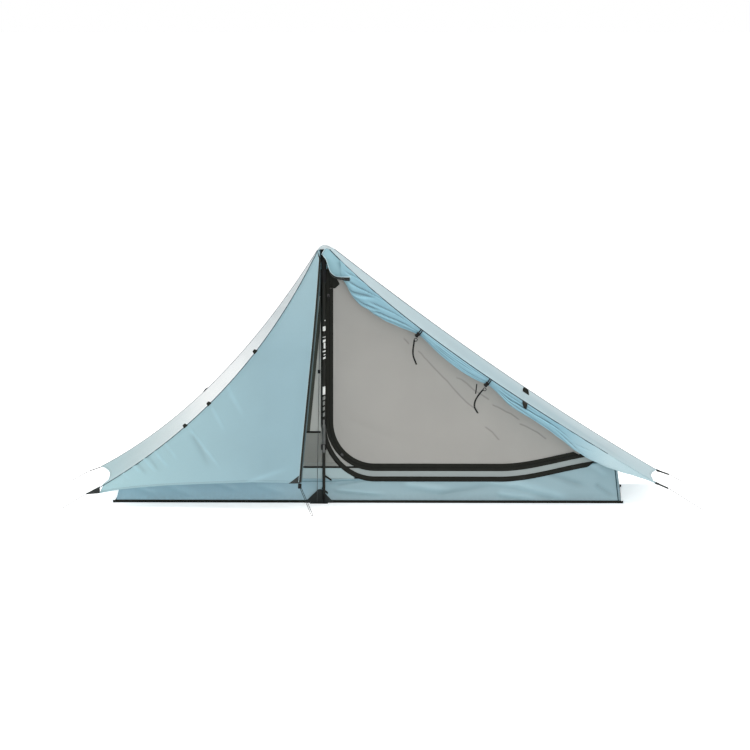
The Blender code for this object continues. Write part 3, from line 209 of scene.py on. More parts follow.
def cloth(name, points, thickness=CLOTH_THICKNESS, uv=None, hem=None, folds=None):
    """A closed thin shell: the grid moved half the thickness out and half in along its normals, and
    joined round its rim. hem is each point's distance from a sewn edge; folds is how deep it lies in a
    fold, from -1 on a crest to 1 in a valley. Both are kept for the finish, which paints shade in the
    valleys and a highlight on the crests from folds."""
    rows, columns = points.shape[:2]
    count = rows * columns
    half = normals(points) * thickness / 2
    vertices = np.concatenate([(points + half).reshape(-1, 3), (points - half).reshape(-1, 3)])
    front = grid_quads(rows, columns)
    here = np.arange(count).reshape(rows, columns)
    edge = np.concatenate([here[0, :-1], here[:-1, -1], here[-1, :0:-1], here[:0:-1, 0]])
    after = np.roll(edge, -1)
    rim = np.stack([edge, after, after + count, edge + count], axis=-1)
    faces = np.concatenate([front, front[:, ::-1] + count, rim])
    flat = (flat_uv(points) if uv is None else uv).reshape(-1, 2)
    made = link_mesh(name, vertices, faces, flat[faces % count])
    mesh = made.data
    pairs = np.empty(len(mesh.edges) * 2, int)
    mesh.edges.foreach_get("vertices", pairs)
    pairs = pairs.reshape(-1, 2)
    on_rim = np.isin(pairs % count, edge).all(axis=1)
    same_side = (pairs[:, 0] < count) == (pairs[:, 1] < count)
    mesh.edges.foreach_set("use_edge_sharp", same_side & on_rim)
    for title, values in (("hem", hem), ("folds", folds)):
        if values is not None:
            held = mesh.attributes.new(title, "FLOAT", "POINT")
            held.data.foreach_set("value", np.tile(values.reshape(-1), 2))
    return made


def strip(name, line_a, line_b, columns, outside=IN_FRONT, thickness=CLOTH_THICKNESS):
    """A ribbon between two lines of points; its map runs along it, so that its weave does too."""
    grid = facing(between(line_a, line_b, columns), outside)
    return cloth(name, grid, thickness, uv=strip_uv(grid))


def tube(name, path, radius, sides=10, level=(0.0, 1.0, 0.0), closed=False):
    """A circle carried along a path: path(s) + r(s) (cos a N(s) + sin a B(s)), capped at both ends.

    N is the level direction made square to the path, and B is square to both."""
    path = np.asarray(path, float)
    count = len(path)
    if closed:
        tangent = unit(np.roll(path, -1, axis=0) - np.roll(path, 1, axis=0))
    else:
        tangent = unit(np.gradient(path, axis=0))
    aside = unit(np.asarray(level, float) - (tangent @ np.asarray(level, float))[:, None] * tangent)
    other = np.cross(tangent, aside)
    angle = np.linspace(0.0, 2 * math.pi, sides, endpoint=False)
    radii = np.broadcast_to(radius, count)[:, None, None]
    spokes = np.cos(angle)[None, :, None] * aside[:, None] + np.sin(angle)[None, :, None] * other[:, None]
    points = (path[:, None] + radii * spokes).reshape(-1, 3)
    rows = count + 1 if closed else count
    steps = np.linalg.norm(np.diff(np.concatenate([path, path[:1]]), axis=0), axis=1)
    along = np.concatenate([[0.0], np.cumsum(steps)])[:rows]
    around = np.linspace(0.0, 1.0, sides + 1) * 2 * math.pi * float(np.mean(radius))
    uv = np.stack(np.meshgrid(along, around, indexing="ij"), axis=-1).reshape(-1, 2)
    faces = grid_quads(rows, sides, wrap=1)
    corner_uv = uv[grid_quads(rows, sides + 1)]
    if closed:
        return link_mesh(name, points, faces % (count * sides), corner_uv)
    first = np.arange(sides)
    caps_uv = np.zeros((2 * sides, 2))
    all_faces = [*faces, first, (count - 1) * sides + first[::-1]]
    return link_mesh(name, points, all_faces, np.concatenate([corner_uv.reshape(-1, 2), caps_uv]))


def join(name, pieces):
    """Several meshes as one piece."""
    vertices, faces, uv = [], [], []
    first = 0
    for piece in pieces:
        mesh = piece.data
        place = np.empty(len(mesh.vertices) * 3)
        mesh.vertices.foreach_get("co", place)
        held = np.empty(len(mesh.loops) * 2)
        mesh.uv_layers[0].data.foreach_get("uv", held)
        vertices.append(place.reshape(-1, 3))
        uv.append(held.reshape(-1, 2))
        faces += [[first + corner for corner in face.vertices] for face in mesh.polygons]
        first += len(mesh.vertices)
        bpy.data.objects.remove(piece, do_unlink=True)
    return link_mesh(name, np.concatenate(vertices), faces, np.concatenate(uv))


print("tools ready")

# %% [markdown]
# ## The tent's own lines
#
# Four ridges run from the peak to the corners of the fly. A ridge sags under the pull of the cloth, so
# each is a curve with one or two middle control points. The inner tent hangs 25 mm under the fly from the
# same ridges, so its lines come from theirs.

# %% Ridges and levels
POLE_X, POLE_Y, PEAK_Z = -0.20, -0.447, 1.171
FLOOR_LENGTH, FLOOR_WIDTH = 2.30, 0.85
WALL_HEIGHT = 0.11
FRONT_Y = -FLOOR_WIDTH / 2
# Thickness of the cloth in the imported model
CLOTH = 0.001
RIDGES = {
    "near_left": [(-0.2225, -0.475, 1.1615), (-0.5543, -0.5625, 0.4618), (-1.213, -0.65, 0.085)],
    "far_left": [(-0.2245, -0.4, 1.16), (-0.6858, 0.125, 0.4125), (-1.273, 0.65, 0.072)],
    "near_right": [(-0.1795, -0.475, 1.1635), (0.1666, -0.5333, 0.8049), (0.7831, -0.5917, 0.4149),
                   (1.306, -0.65, 0.115)],
    "far_right": [(-0.1625, -0.4, 1.1625), (0.6259, 0.125, 0.5060), (1.325, 0.65, 0.061)],
}
NEAR_LEFT, FAR_LEFT, NEAR_RIGHT, FAR_RIGHT = RIDGES.values()
DOOR_EDGE = [(-0.212, -0.485, 1.146), (-0.2272, -0.6333, 0.8114), (-0.276, -0.7817, 0.3956),
             (-0.292, -0.93, 0.132)]
LEFT_TOP_X, RIGHT_TOP_X = -FLOOR_LENGTH / 2 + 0.03, FLOOR_LENGTH / 2 - 0.02
# Each end of the tent: its way, near and far ridge, how its hem is drawn in, and the floor's corner
ENDS = {"left": (-1.0, NEAR_LEFT, FAR_LEFT, (0.045, 0.0, 0.012), LEFT_TOP_X),
        "right": (1.0, NEAR_RIGHT, FAR_RIGHT, (-0.022, 0.0, 0.006), RIGHT_TOP_X)}
INNER_DROP = 0.025


def share_at(controls, x):
    """The share of a ridge at which it passes over x."""
    t = np.linspace(0.0, 1.0, 2001)
    run = bezier(controls, t)[:, 0]
    return float(np.interp(x, run, t) if run[-1] > run[0] else np.interp(-x, -run, t))


def panel(edge_a, edge_b, bow, rows, columns, start=0.0):
    """Cloth between two ridges: (1 - u) A(v) + u B(v), its hem drawn in by bow 4 u (1 - u) v^3."""
    v = np.linspace(0.0, 1.0, rows)
    u = np.linspace(0.0, 1.0, columns)
    share = start + (1.0 - start) * v
    a = bezier(edge_a, share)[:, None]
    b = bezier(edge_b, share)[:, None]
    lift = (4 * u * (1 - u))[None, :, None] * (v ** 3)[:, None, None] * np.asarray(bow)
    return a + (b - a) * u[None, :, None] + lift


print("ridge over the left corner at share", round(share_at(NEAR_LEFT, LEFT_TOP_X), 3))

# %% [markdown]
# ## Finishes
#
# Tent cloth is a thin nylon with a coarse square thread in it that stops a tear, so a close look shows
# small squares and a far look shows only a soft sheen. Each finish is therefore a colour, a pattern that
# reads the cloth's own map in metres, a slow change of tone, and a small relief. The pattern is kept
# faint, because at a few metres it would otherwise flicker.

# %% Node helpers
def linear(colour):
    """A colour as it shows on screen, 0 to 255, turned to the linear values that a shader takes."""
    shown = np.array(colour) / 255.0
    low = shown / 12.92
    high = ((shown + 0.055) / 1.055) ** 2.4
    return (*np.where(shown <= 0.04045, low, high).tolist(), 1.0)


class Nodes:
    """The node tree of a world or a material, emptied, with short ways to add to it."""

    def __init__(self, owner):
        owner.use_nodes = True
        self.tree = owner.node_tree
        self.tree.nodes.clear()

    def node(self, kind, inputs=None, **settings):
        """A node of that kind; an input is a number, a colour or another node's output."""
        made = self.tree.nodes.new(f"ShaderNode{kind}")
        for key, value in settings.items():
            setattr(made, key, value)
        for key, value in (inputs or {}).items():
            if isinstance(value, bpy.types.NodeSocket):
                self.tree.links.new(value, made.inputs[key])
            else:
                made.inputs[key].default_value = value
        return made

    def maths(self, operation, *values, clamp=False):
        """The result of one step of arithmetic."""
        return self.node("Math", dict(enumerate(values)), operation=operation, use_clamp=clamp).outputs[0]

    def times(self, a, b):
        """The product of two values."""
        return self.maths("MULTIPLY", a, b)

    def blend(self, factor, low, high):
        """A colour between two, by a factor from 0 to 1."""
        mixed = self.node("Mix", {0: factor, 6: low, 7: high}, data_type="RGBA", clamp_factor=True)
        return mixed.outputs[2]


class Finish(Nodes):
    """A material in the making, with what its patterns read: a place in the tent and on the cloth."""

    def __init__(self, name, colour, roughness, **shader):
        """Numbers that are the same all over sit on the shader itself."""
        self.material = bpy.data.materials.new(name)
        super().__init__(self.material)
        self.colour = linear(colour)
        self.surface = self.node("BsdfPrincipled", {"Roughness": roughness, **shader})
        self.output = self.node("OutputMaterial", {0: self.surface.outputs[0]})
        place = self.node("TexCoord")
        self.spot = place.outputs["Object"]
        self.x_y_z = self.node("SeparateXYZ", {"Vector": self.spot}).outputs
        self.along, self.across = self.node("SeparateXYZ", {"Vector": place.outputs["UV"]}).outputs[:2]

    def shade(self, factor):
        """The finish's own colour, darker or lighter."""
        return (*(min(value * factor, 1.0) for value in self.colour[:3]), 1.0)

    def noise(self, scale):
        """Cloudy values round a half."""
        return self.node("TexNoise", {"Scale": scale, "Detail": 3.0, "Vector": self.spot}).outputs[0]

    def waves(self, coordinate, pitch):
        """A sine of that pitch, from 0 to 1."""
        turn = self.maths("SINE", self.times(coordinate, 2 * math.pi / pitch))
        return self.maths("MULTIPLY_ADD", turn, 0.5, 0.5)

    def threads(self, pitch, width):
        """1 on thin lines a pitch apart both ways and 0 between: fract(x / pitch) near a half."""
        parts = [self.maths("FRACT", self.maths("DIVIDE", way, pitch)) for way in (self.along, self.across)]
        return self.maths("MAXIMUM", *(self.maths("COMPARE", part, 0.5, width) for part in parts))

    def attribute(self, name):
        """A value that the mesh keeps for each of its points."""
        return self.node("Attribute", attribute_name=name).outputs["Fac"]

    def finish(self, tone, height, depth):
        """The material, with its colour and a small relief."""
        self.tree.links.new(tone, self.surface.inputs["Base Color"])
        made = self.node("Bump", {"Height": height, "Distance": depth, "Strength": 1.0})
        self.tree.links.new(made.outputs[0], self.surface.inputs["Normal"])
        return self.material


print("a pale blue in linear values:", [round(value, 3) for value in linear((165, 197, 203))])

# %% Kinds of finish
WEAVE_PITCH, STITCH_PITCH = 0.0009, 0.0035
HEM_WIDTH, STITCH_PLACE, STITCH_HALF = 0.012, 0.0105, 0.0006
DIRT_HEIGHT = 0.05


def cloth_finish(name, colour, squares=0.006, sheen=0.1, roughness=0.5, through=0.0, dirt=0.0,
                 stitched=False, painted_fold_shade=0.0, tints_and_painted_light=(), gloss=0.35):
    """Woven nylon: tear-stop squares, a fine weave, slow tone changes, and hem stitches if stitched.

    The fold setting is how much painted shade the cloth gets deep in a fold, and how much painted
    highlight on a crest. Each fade row is (colour, axis, from, to): the cloth takes on that colour along an
    axis. Most rows are painted light, paler where the cloth faces the lamps or has light behind it; the
    sill's row is a tint.
    through is the share of light that passes to its far side."""
    make = Finish(name, colour, roughness,
                  **{"Sheen Weight": sheen, "Sheen Roughness": 0.4, "Specular IOR Level": gloss})
    lines = make.threads(squares, 0.06)
    weave = make.times(make.waves(make.along, WEAVE_PITCH), make.waves(make.across, WEAVE_PITCH))
    cloud, fine = make.noise(3.5), make.noise(60.0)
    tone = make.blend(make.maths("MULTIPLY_ADD", cloud, 1.6, -0.3, clamp=True), make.shade(0.94),
                      make.shade(1.06))
    # Painted light: most fade rows make the cloth paler where it faces the lamps or has light behind it; the
    # sill's row is a tint.
    for toward_colour, axis, first, last in tints_and_painted_light:
        past = make.maths("SUBTRACT", make.x_y_z[axis], first)
        tone = make.blend(make.maths("DIVIDE", past, last - first, clamp=True), tone, linear(toward_colour))
    tone = make.blend(make.times(lines, 0.30), tone, make.shade(0.80))
    tone = make.blend(make.times(fine, 0.10), tone, make.shade(0.88))
    if dirt:
        low = make.maths("SUBTRACT", 1.0, make.maths("DIVIDE", make.x_y_z[2], DIRT_HEIGHT), clamp=True)
        tone = make.blend(make.times(low, make.times(fine, dirt)), tone, make.shade(0.55))
    height = make.maths("ADD", make.times(lines, 0.6), make.times(weave, 0.25))
    if stitched:
        edge = make.attribute("hem")
        turned = make.maths("LESS_THAN", edge, HEM_WIDTH)
        tone = make.blend(make.times(turned, 0.30), tone, make.shade(0.80))
        on_seam = make.maths("COMPARE", edge, STITCH_PLACE, STITCH_HALF)
        dash = make.maths("GREATER_THAN", make.waves(make.along, STITCH_PITCH), 0.25)
        tone = make.blend(make.times(make.times(on_seam, dash), 0.6), tone, make.shade(0.45))
        height = make.maths("ADD", height, make.times(turned, 1.5))
    # Painted shade deep in a fold and a painted highlight on a crest, from the mesh's folds value.
    if painted_fold_shade:
        deep = make.attribute("folds")
        for share, factor in ((painted_fold_shade, 0.35), (-painted_fold_shade, 1.7)):
            tone = make.blend(make.maths("MULTIPLY", deep, share, clamp=True), tone, make.shade(factor))
    if through:
        glow = make.node("BsdfTranslucent", {"Color": tone})
        both = make.node("MixShader", {0: through, 1: make.surface.outputs[0], 2: glow.outputs[0]})
        make.tree.links.new(both.outputs[0], make.output.inputs[0])
    return make.finish(tone, height, 0.0002)


def tape_finish(name, colour, rows=0.0022):
    """Woven tape: ribs along it and across it, and a slightly worn tone."""
    make = Finish(name, colour, 0.7, **{"Specular IOR Level": 0.12})
    ribs = make.times(make.waves(make.along, rows), make.waves(make.across, rows * 0.7))
    tone = make.blend(make.noise(25.0), make.shade(0.75), make.shade(1.35))
    tone = make.blend(make.times(ribs, 0.35), tone, make.shade(1.9))
    return make.finish(tone, ribs, 0.0003)


def cord_finish(name, colour, pitch=0.004, girth=0.0079):
    """Braided cord: two sets of strands that wind round it in opposite directions."""
    make = Finish(name, colour, 0.65, **{"Specular IOR Level": 0.15})
    lean = make.times(make.across, 2 * pitch / girth)
    left, right = (make.waves(make.maths(way, make.along, lean), pitch) for way in ("ADD", "SUBTRACT"))
    strands = make.times(left, right)
    tone = make.blend(strands, make.shade(0.6), make.shade(1.5))
    tone = make.blend(make.times(make.noise(80.0), 0.3), tone, make.shade(0.7))
    return make.finish(tone, strands, 0.0004)


def hard_finish(name, colour, roughness, metallic=0.0, grain=400.0, wear=0.0, turned=False, gloss=0.5):
    """Moulded plastic or metal: a fine grain, uneven gloss, paler rubbed spots, rings if turned."""
    make = Finish(name, colour, roughness, **{"Metallic": metallic, "Specular IOR Level": gloss})
    fine, cloud = make.noise(grain), make.noise(30.0)
    tone = make.blend(cloud, make.shade(0.85), make.shade(1.2))
    tone = make.blend(make.times(make.maths("GREATER_THAN", fine, 0.62), wear), tone, make.shade(3.0))
    dull = make.maths("MULTIPLY_ADD", cloud, 0.2, roughness - 0.1, clamp=True)
    make.tree.links.new(dull, make.surface.inputs["Roughness"])
    if turned:
        fine = make.maths("ADD", fine, make.times(make.waves(make.x_y_z[2], 0.0016), 0.5))
    return make.finish(tone, fine, 0.00008)


def mesh_finish(name, colour, pitch=0.0016):
    """Insect mesh: threads both ways with open squares between them, so the far wall shows through."""
    make = Finish(name, colour, 0.7)
    threads = make.threads(pitch, 0.17)
    make.tree.links.new(threads, make.surface.inputs["Alpha"])
    return make.finish(make.blend(make.noise(9.0), make.shade(0.8), make.shade(1.2)), threads, 0.0002)


print("kinds of finish: 5")

# %% The tent's finishes
# The fly's fades are painted light: paler towards the left end and towards the top. Its fold setting paints
# shade in crease valleys and a highlight on their crests.
FLY_BLUE = cloth_finish("fly_blue_ripstop", (160, 191, 200), through=0.4, stitched=True, painted_fold_shade=0.8,
                        tints_and_painted_light=(((184, 215, 219), 0, -0.45, -1.2), ((176, 205, 212), 2, 0.70, 1.15)))
# The left end and the peak cap: the fly's cloth with painted light, paler than the fly and nearly white
# higher up.
LEFT_PALE_PAINTED_LIGHT = cloth_finish("fly_left_ripstop_painted_light", (186, 210, 213), through=0.4, stitched=True,
                         tints_and_painted_light=(((252, 253, 253), 2, 0.10, 0.45), ((222, 228, 230), 2, 0.60, 0.85)))
# The right end: the fly's cloth with painted light, paler than the fly and paler still towards the rear, the
# right and the top.
RIGHT_PALE_PAINTED_LIGHT = cloth_finish("fly_right_ripstop_painted_light", (190, 213, 219), through=0.4, stitched=True,
                          tints_and_painted_light=(((220, 231, 234), 1, -0.20, 0.42), ((202, 220, 224), 0, 0.95, 1.35),
                                  ((206, 222, 226), 2, 0.62, 1.00)))
# The roll's fades are painted light: paler towards its right end, where it is one layer, and a little paler
# at its left end. Its fold setting paints shade in the folds and a highlight on their crests.
ROLL_BLUE = cloth_finish("rolled_blue_ripstop", (122, 162, 176), sheen=0.06, painted_fold_shade=0.9,
                         tints_and_painted_light=(((172, 195, 200), 0, 0.88, 1.10), ((132, 170, 181), 0, -0.02, -0.12)))
COLLAR_BLUE = cloth_finish("collar_blue_ripstop", (134, 172, 182))
# The floor's fade is painted light: lighter and bluer towards the left, where light comes through the fly.
# Its fold setting paints shade in the walls' pulls and a highlight on their crests.
FLOOR_BLUE = cloth_finish("bathtub_blue_coated", (147, 175, 183), roughness=0.38, dirt=0.6, painted_fold_shade=0.5,
                          tints_and_painted_light=(((168, 205, 220), 0, -0.15, -0.45),))
# Its fold setting paints shade along the thin folds of the inner door.
INNER_GREY = cloth_finish("inner_grey_nylon", (163, 161, 156), squares=0.005, sheen=0.05, through=0.08,
                          painted_fold_shade=0.5)
# The fixed front wall: the inner's grey cloth with painted light, paler as if lit from behind.
INNER_PALE_PAINTED_BACKLIGHT = cloth_finish("inner_pale_nylon_painted_backlight", (190, 192, 186), squares=0.005, sheen=0.05, through=0.1)
BAND_BLUE = cloth_finish("vent_band_nylon", (162, 182, 184), squares=0.005)
SILL_GREY = cloth_finish("sill_grey_nylon", (148, 157, 156), squares=0.005,
                         tints_and_painted_light=(((150, 149, 144), 0, -0.05, -0.10),))
SEAM_SOFT = cloth_finish("soft_blue_seam", (116, 148, 158), squares=0.004)
FLAP_GREY = cloth_finish("zip_flap_nylon", (88, 108, 112), squares=0.004)
PIPING_PALE = cloth_finish("pale_piping", (176, 200, 206), squares=0.003)
BLACK_TAPE = tape_finish("black_grosgrain", (31, 32, 28))
GREY_TAPE = tape_finish("dark_grey_mesh_tape", (62, 65, 58))
SEAM_TEAL = tape_finish("teal_seam_tape", (30, 54, 64), rows=0.003)
PATCH_BLACK = cloth_finish("black_pack_cloth", (50, 54, 53), squares=0.003, sheen=0.0, roughness=0.8,
                           gloss=0.12)
BLACK_CORD = cord_finish("black_braid", (26, 27, 25))
GREY_CORD = cord_finish("grey_braid", (80, 84, 84))
POLE_BLACK = hard_finish("pole_black", (33, 34, 30), 0.55, wear=0.03, gloss=0.15)
POLE_GREY = hard_finish("pole_grey", (84, 86, 84), 0.4, metallic=0.2, turned=True, gloss=0.3)
WHITE_PRINT = hard_finish("white_print", (232, 233, 228), 0.6)
GREY_PRINT = hard_finish("grey_print", (120, 122, 118), 0.6)
BLACK_PLASTIC = hard_finish("black_plastic", (24, 24, 23), 0.5, wear=0.04, gloss=0.10)
GRIP_FOAM = hard_finish("grip_foam", (36, 36, 36), 0.9, grain=900.0, gloss=0.1)
SLIDER_METAL = hard_finish("slider_metal", (52, 52, 52), 0.4, metallic=0.8, wear=0.2)
VENT_MESH = mesh_finish("vent_mesh", (166, 169, 163))
print("finishes:", len(bpy.data.materials))

# %% Putting a piece on the tent
def dress(piece, finish, *nodes, body="tent", slot=None):
    """Give a piece its finish and its body, if it has just one, and hide the nodes it stands for."""
    piece.data.materials.append(finish)
    if body:
        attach(piece, body)
    if nodes:
        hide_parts(*nodes)
    return piece


def sew(name, points, finish, *nodes, held="hung", rests_on="fly_apex_socket", body="tent", slot=None,
        **make):
    """Its cut is the smallest level and sloping size, and its area is what it covers."""
    piece = dress(cloth(name, points, **make), finish, *nodes, body=body, slot=slot)
    flat = flat_uv(points).reshape(-1, 2)
    size = flat.max(axis=0) - flat.min(axis=0)
    a = np.cross(points[1:, :-1] - points[:-1, :-1], points[:-1, 1:] - points[:-1, :-1])
    b = np.cross(points[:-1, 1:] - points[1:, 1:], points[1:, :-1] - points[1:, 1:])
    area = (np.linalg.norm(a, axis=-1).sum() + np.linalg.norm(b, axis=-1).sum()) / 2
    size = size * max(1.0, math.sqrt(area / (size[0] * size[1])))
    print(f"{name}: cut {size[0]:.2f} x {size[1]:.2f} m, {area:.3f} m2")
    return piece


def cord(piece, node, body="tent"):
    dress(piece, BLACK_CORD, node, body=body)


print("ready to dress the pieces")

# %% [markdown]
# ## Guylines
#
# A guyline is a thin braided cord, pulled straight from a corner patch to the ground. It is a circle
# carried along a straight path. The door's line runs from a line lock to the ground and back, so its
# path is a long narrow U with a small half circle where a peg would hold it.

# %% Corner lines
LINE_RADIUS, LINE_GAP = 0.00125, 0.0003
LINE_END_Z, LINE_SLOPE = 0.0016, 0.5
PATCH_OUT = np.array([0.864, 0.503, 0.0])
PATCH_REACH, PATCH_FALL = 0.065, 0.0234


def corner_of(ridge):
    """A corner of the fly, its direction away from the tent, and the tip of its patch."""
    corner = np.array(ridge[-1])
    out = unit(PATCH_OUT * (*np.sign(corner[:2]), 1.0))
    return corner, out, corner + out * PATCH_REACH - (0.0, 0.0, PATCH_FALL)


for name, ridge in RIDGES.items():
    corner, out, tip = corner_of(ridge)
    start = tip + out * (LINE_GAP + LINE_RADIUS)
    end = start + out * (start[2] - LINE_END_Z) / LINE_SLOPE
    end[2] = LINE_END_Z
    path = span(start, end, count=25)
    line = tube(f"corner_line_{name}", path, LINE_RADIUS, level=(0.0, 0.0, 1.0))
    cord(line, f"guyline_{name}")

# %% Door line
DOOR_FOOT = np.array(DOOR_EDGE[-1])
LINE_LOCK_SIZE = (0.016, 0.006, 0.022)
LINE_SPREAD = np.array([0.0048, 0.0, -0.0044])
STAKE_FROM_FOOT, STAKE_RADIUS = (0.057, -0.155), 0.004
lock_middle = DOOR_FOOT + (-0.0024, 0.0, -LINE_LOCK_SIZE[2] / 2 - CLOTH)
lock_face = lock_middle - (0.0, LINE_LOCK_SIZE[1] / 2 + LINE_GAP + LINE_RADIUS, 0.0)
stake = np.array([*(DOOR_FOOT[:2] + STAKE_FROM_FOOT), LINE_END_Z])
angle = np.linspace(0.0, math.pi, 17)[:, None]
turn = stake - STAKE_RADIUS * np.concatenate([np.cos(angle), np.sin(angle), 0 * angle], axis=1)
down = span(lock_face - LINE_SPREAD, turn[0], count=17)[:-1]
up = span(lock_face + LINE_SPREAD, turn[-1], count=17)[-2::-1]
path = np.concatenate([down, turn, up])
line = tube("door_line", path, LINE_RADIUS, level=(0.0, 0.0, 1.0))
cord(line, "guyline_door", body="fly_left_door")

# %% [markdown]
# ## The ties' tails
#
# The tails of the two ties hang down from their toggles under their own weight, with the slight
# swing that a short elastic keeps from being wound up. Each is a smooth curve through a few points. The
# toggles sit on the roll, so the roll's sizes come first.

# %% Roll sizes, which the ties need
# Share of the ridge, height and depth of the roll
ROLL_KEYS = [
    (0.050, 0.088, 0.030), (0.090, 0.112, 0.046), (0.145, 0.109, 0.052), (0.185, 0.098, 0.052),
    (0.225, 0.082, 0.050), (0.270, 0.060, 0.046), (0.305, 0.040, 0.038), (0.330, 0.030, 0.032),
    (0.350, 0.033, 0.036), (0.385, 0.045, 0.042), (0.430, 0.051, 0.044), (0.475, 0.049, 0.043),
    (0.510, 0.040, 0.036), (0.534, 0.030, 0.030), (0.555, 0.036, 0.032), (0.592, 0.055, 0.036),
    (0.640, 0.053, 0.034), (0.690, 0.053, 0.030), (0.730, 0.061, 0.026), (0.775, 0.073, 0.020),
    (0.830, 0.070, 0.014), (0.900, 0.045, 0.007), (0.955, 0.019, 0.005), (0.998, 0.004, 0.003),
]
ROLL_STANDOFF = 0.003
TIE_SHARES = (0.330, 0.534)
TIE_RADIUS, TIE_CLEARANCE = 0.0020, 0.0037


def roll_middle(share):
    """The middle of the roll under its ridge, and its height and depth there."""
    size = through(ROLL_KEYS, share)
    height, depth = size[..., 0], size[..., 1]
    down = np.stack([0 * height, -ROLL_STANDOFF - depth / 2, -height / 2 - CLOTH], axis=-1)
    return bezier(NEAR_RIGHT, share) + down, height, depth


def tie_front(share):
    """The place just in front of the roll at a tie."""
    middle, height, depth = roll_middle(share)
    return middle - (0.0, depth / 2 + TIE_CLEARANCE + TIE_RADIUS + 0.002, 0.0)


# %% Tails of the ties
# Points of each tail, in X and Z from where it starts
TAIL_ROUTES = (((0.000, 0.000), (-0.002, -0.016), (-0.006, -0.048), (-0.004, -0.075), (0.010, -0.112)),
               ((0.000, 0.000), (-0.020, -0.024), (-0.036, -0.052), (-0.039, -0.080), (-0.024, -0.108)))
TAIL_START = (-0.0252, 0.0, -0.0323)
for index, (share, route) in enumerate(zip(TIE_SHARES, TAIL_ROUTES), start=1):
    keys = [(place, x, 0.0, z) for place, (x, z) in enumerate(route)]
    path = tie_front(share) + TAIL_START + through(keys, np.linspace(0.0, len(route) - 1, 33))
    strands = [tube("strand", path + (TIE_RADIUS * way, 0.0, 0.0), TIE_RADIUS) for way in (-1, 1)]
    cord(join(f"tie_cord_end_{index}", strands), f"tie_tail_{index}")

# %% [markdown]
# ## Light and floor
#
# Cloth looks soft in soft light: a large lamp above, a smaller one above the camera's side, a wide low one
# in front that fills the shadows, and one at each side for the fly's ends. The background is white
# because the backdrop's colour is white, and the floor keeps the tent's soft shadow.

# %% World, lamps and floor
WORLD_GLOW, FLOOR_GLOW, FLOOR_TONE, FLOOR_REACH = 0.64, 0.50, 0.93, 60.0
WHITE = (1.0, 1.0, 1.0, 1.0)
# Name, place, what it looks at, width and power
LAMPS = (("top_lamp", (0.5, 1.5, 5.5), (0.0, 0.0, 0.3), 4.0, 150.0),
         ("front_lamp", (-1.6, -4.6, 4.2), (0.1, -0.4, 0.4), 2.4, 28.0),
         ("fill_lamp", (0.5, -7.5, 0.9), (0.0, -0.4, 0.5), 3.0, 190.0),
         ("left_lamp", (-6.0, -1.5, 3.0), (-0.3, 0.0, 0.5), 3.0, 150.0),
         ("right_lamp", (6.0, -1.5, 3.0), (0.3, 0.0, 0.5), 3.0, 110.0))
scene.world = bpy.data.worlds.new("studio")
sky = Nodes(scene.world)
rays = sky.node("LightPath")
seen = sky.maths("MAXIMUM", rays.outputs["Is Camera Ray"], rays.outputs["Is Glossy Ray"])
seen = sky.maths("MAXIMUM", seen, rays.outputs["Is Transmission Ray"])
glow, white = (sky.node("Background", {"Color": WHITE, "Strength": power}) for power in (WORLD_GLOW, 1.0))
both = sky.node("MixShader", {0: seen, 1: glow.outputs[0], 2: white.outputs[0]})
sky.node("OutputWorld", {0: both.outputs[0]})

for name, place, target, width, power in LAMPS:
    light = bpy.data.lights.new(name, "AREA")
    light.shape = "SQUARE"
    light.size = width
    light.energy = power
    lamp = bpy.data.objects.new(name, light)
    lamp.location = place
    x, y, z = np.subtract(place, target)
    lamp.rotation_euler = (math.atan2(math.hypot(x, y), z), 0.0, math.atan2(x, -y))
    scene.collection.objects.link(lamp)

floor_corners = np.array([(-1, -1, 0), (1, -1, 0), (1, 1, 0), (-1, 1, 0)], float) * FLOOR_REACH
floor = link_mesh("floor", floor_corners, [(0, 1, 2, 3)], np.zeros((4, 2)), smooth=False)
make = Finish("floor_white", (255, 255, 255), 0.9, **{"Emission Color": WHITE})
make.surface.inputs["Base Color"].default_value = make.shade(FLOOR_TONE)
camera_rays = make.node("LightPath").outputs["Is Camera Ray"]
make.tree.links.new(make.times(camera_rays, FLOOR_GLOW), make.surface.inputs["Emission Strength"])
floor.data.materials.append(make.material)
print("lamps:", len(LAMPS))

# %% [markdown]
# ## The fly
#
# The fly is cut as triangles and sewn along the ridges, so each panel is the surface between two ridge
# curves, with a hem that is drawn in. Real cloth is never quite flat: it has slow waves across
# it and a few straight tension creases. Both are added along the panel's own normal. The waves die out
# at the seams, where the cloth is held, and each crease fades at its own ends.

# %% Creases
def ripple(points, wave, height, lean=(1.0, 0.0, 0.0), phase=0.0):
    """Slow waves: height sin(2 pi (p . lean) / wave + phase)."""
    return height * np.sin(2 * math.pi * (points @ unit(np.asarray(lean, float))) / wave + phase)


def crease(points, start, end, width, height):
    """A straight fold in X and Z from start to end: height exp(-(d / width)^2), fading at its ends."""
    flat = points[..., [0, 2]]
    a = np.asarray(start, float)
    run = np.asarray(end, float) - a
    reach = math.hypot(*run)
    line = run / reach
    along = (flat - a) @ line / reach
    off = (flat - a) @ np.array([-line[1], line[0]])
    fade = smoothstep(along / 0.15) * smoothstep((1.0 - along) / 0.4)
    return height * np.exp(-(off / width) ** 2) * fade


def nearest_line(points, line):
    """How far each point lies, in X and Z, from a broken line: the least distance to any of its parts."""
    flat = points[..., [0, 2]]
    far = np.full(flat.shape[:2], 9.0)
    for start, end in zip(line, line[1:]):
        a, run = np.asarray(start, float), np.asarray(end, float) - start
        along = np.clip((flat - a) @ run / (run @ run), 0.0, 1.0)
        far = np.minimum(far, np.linalg.norm(flat - a - along[..., None] * run, axis=-1))
    return far


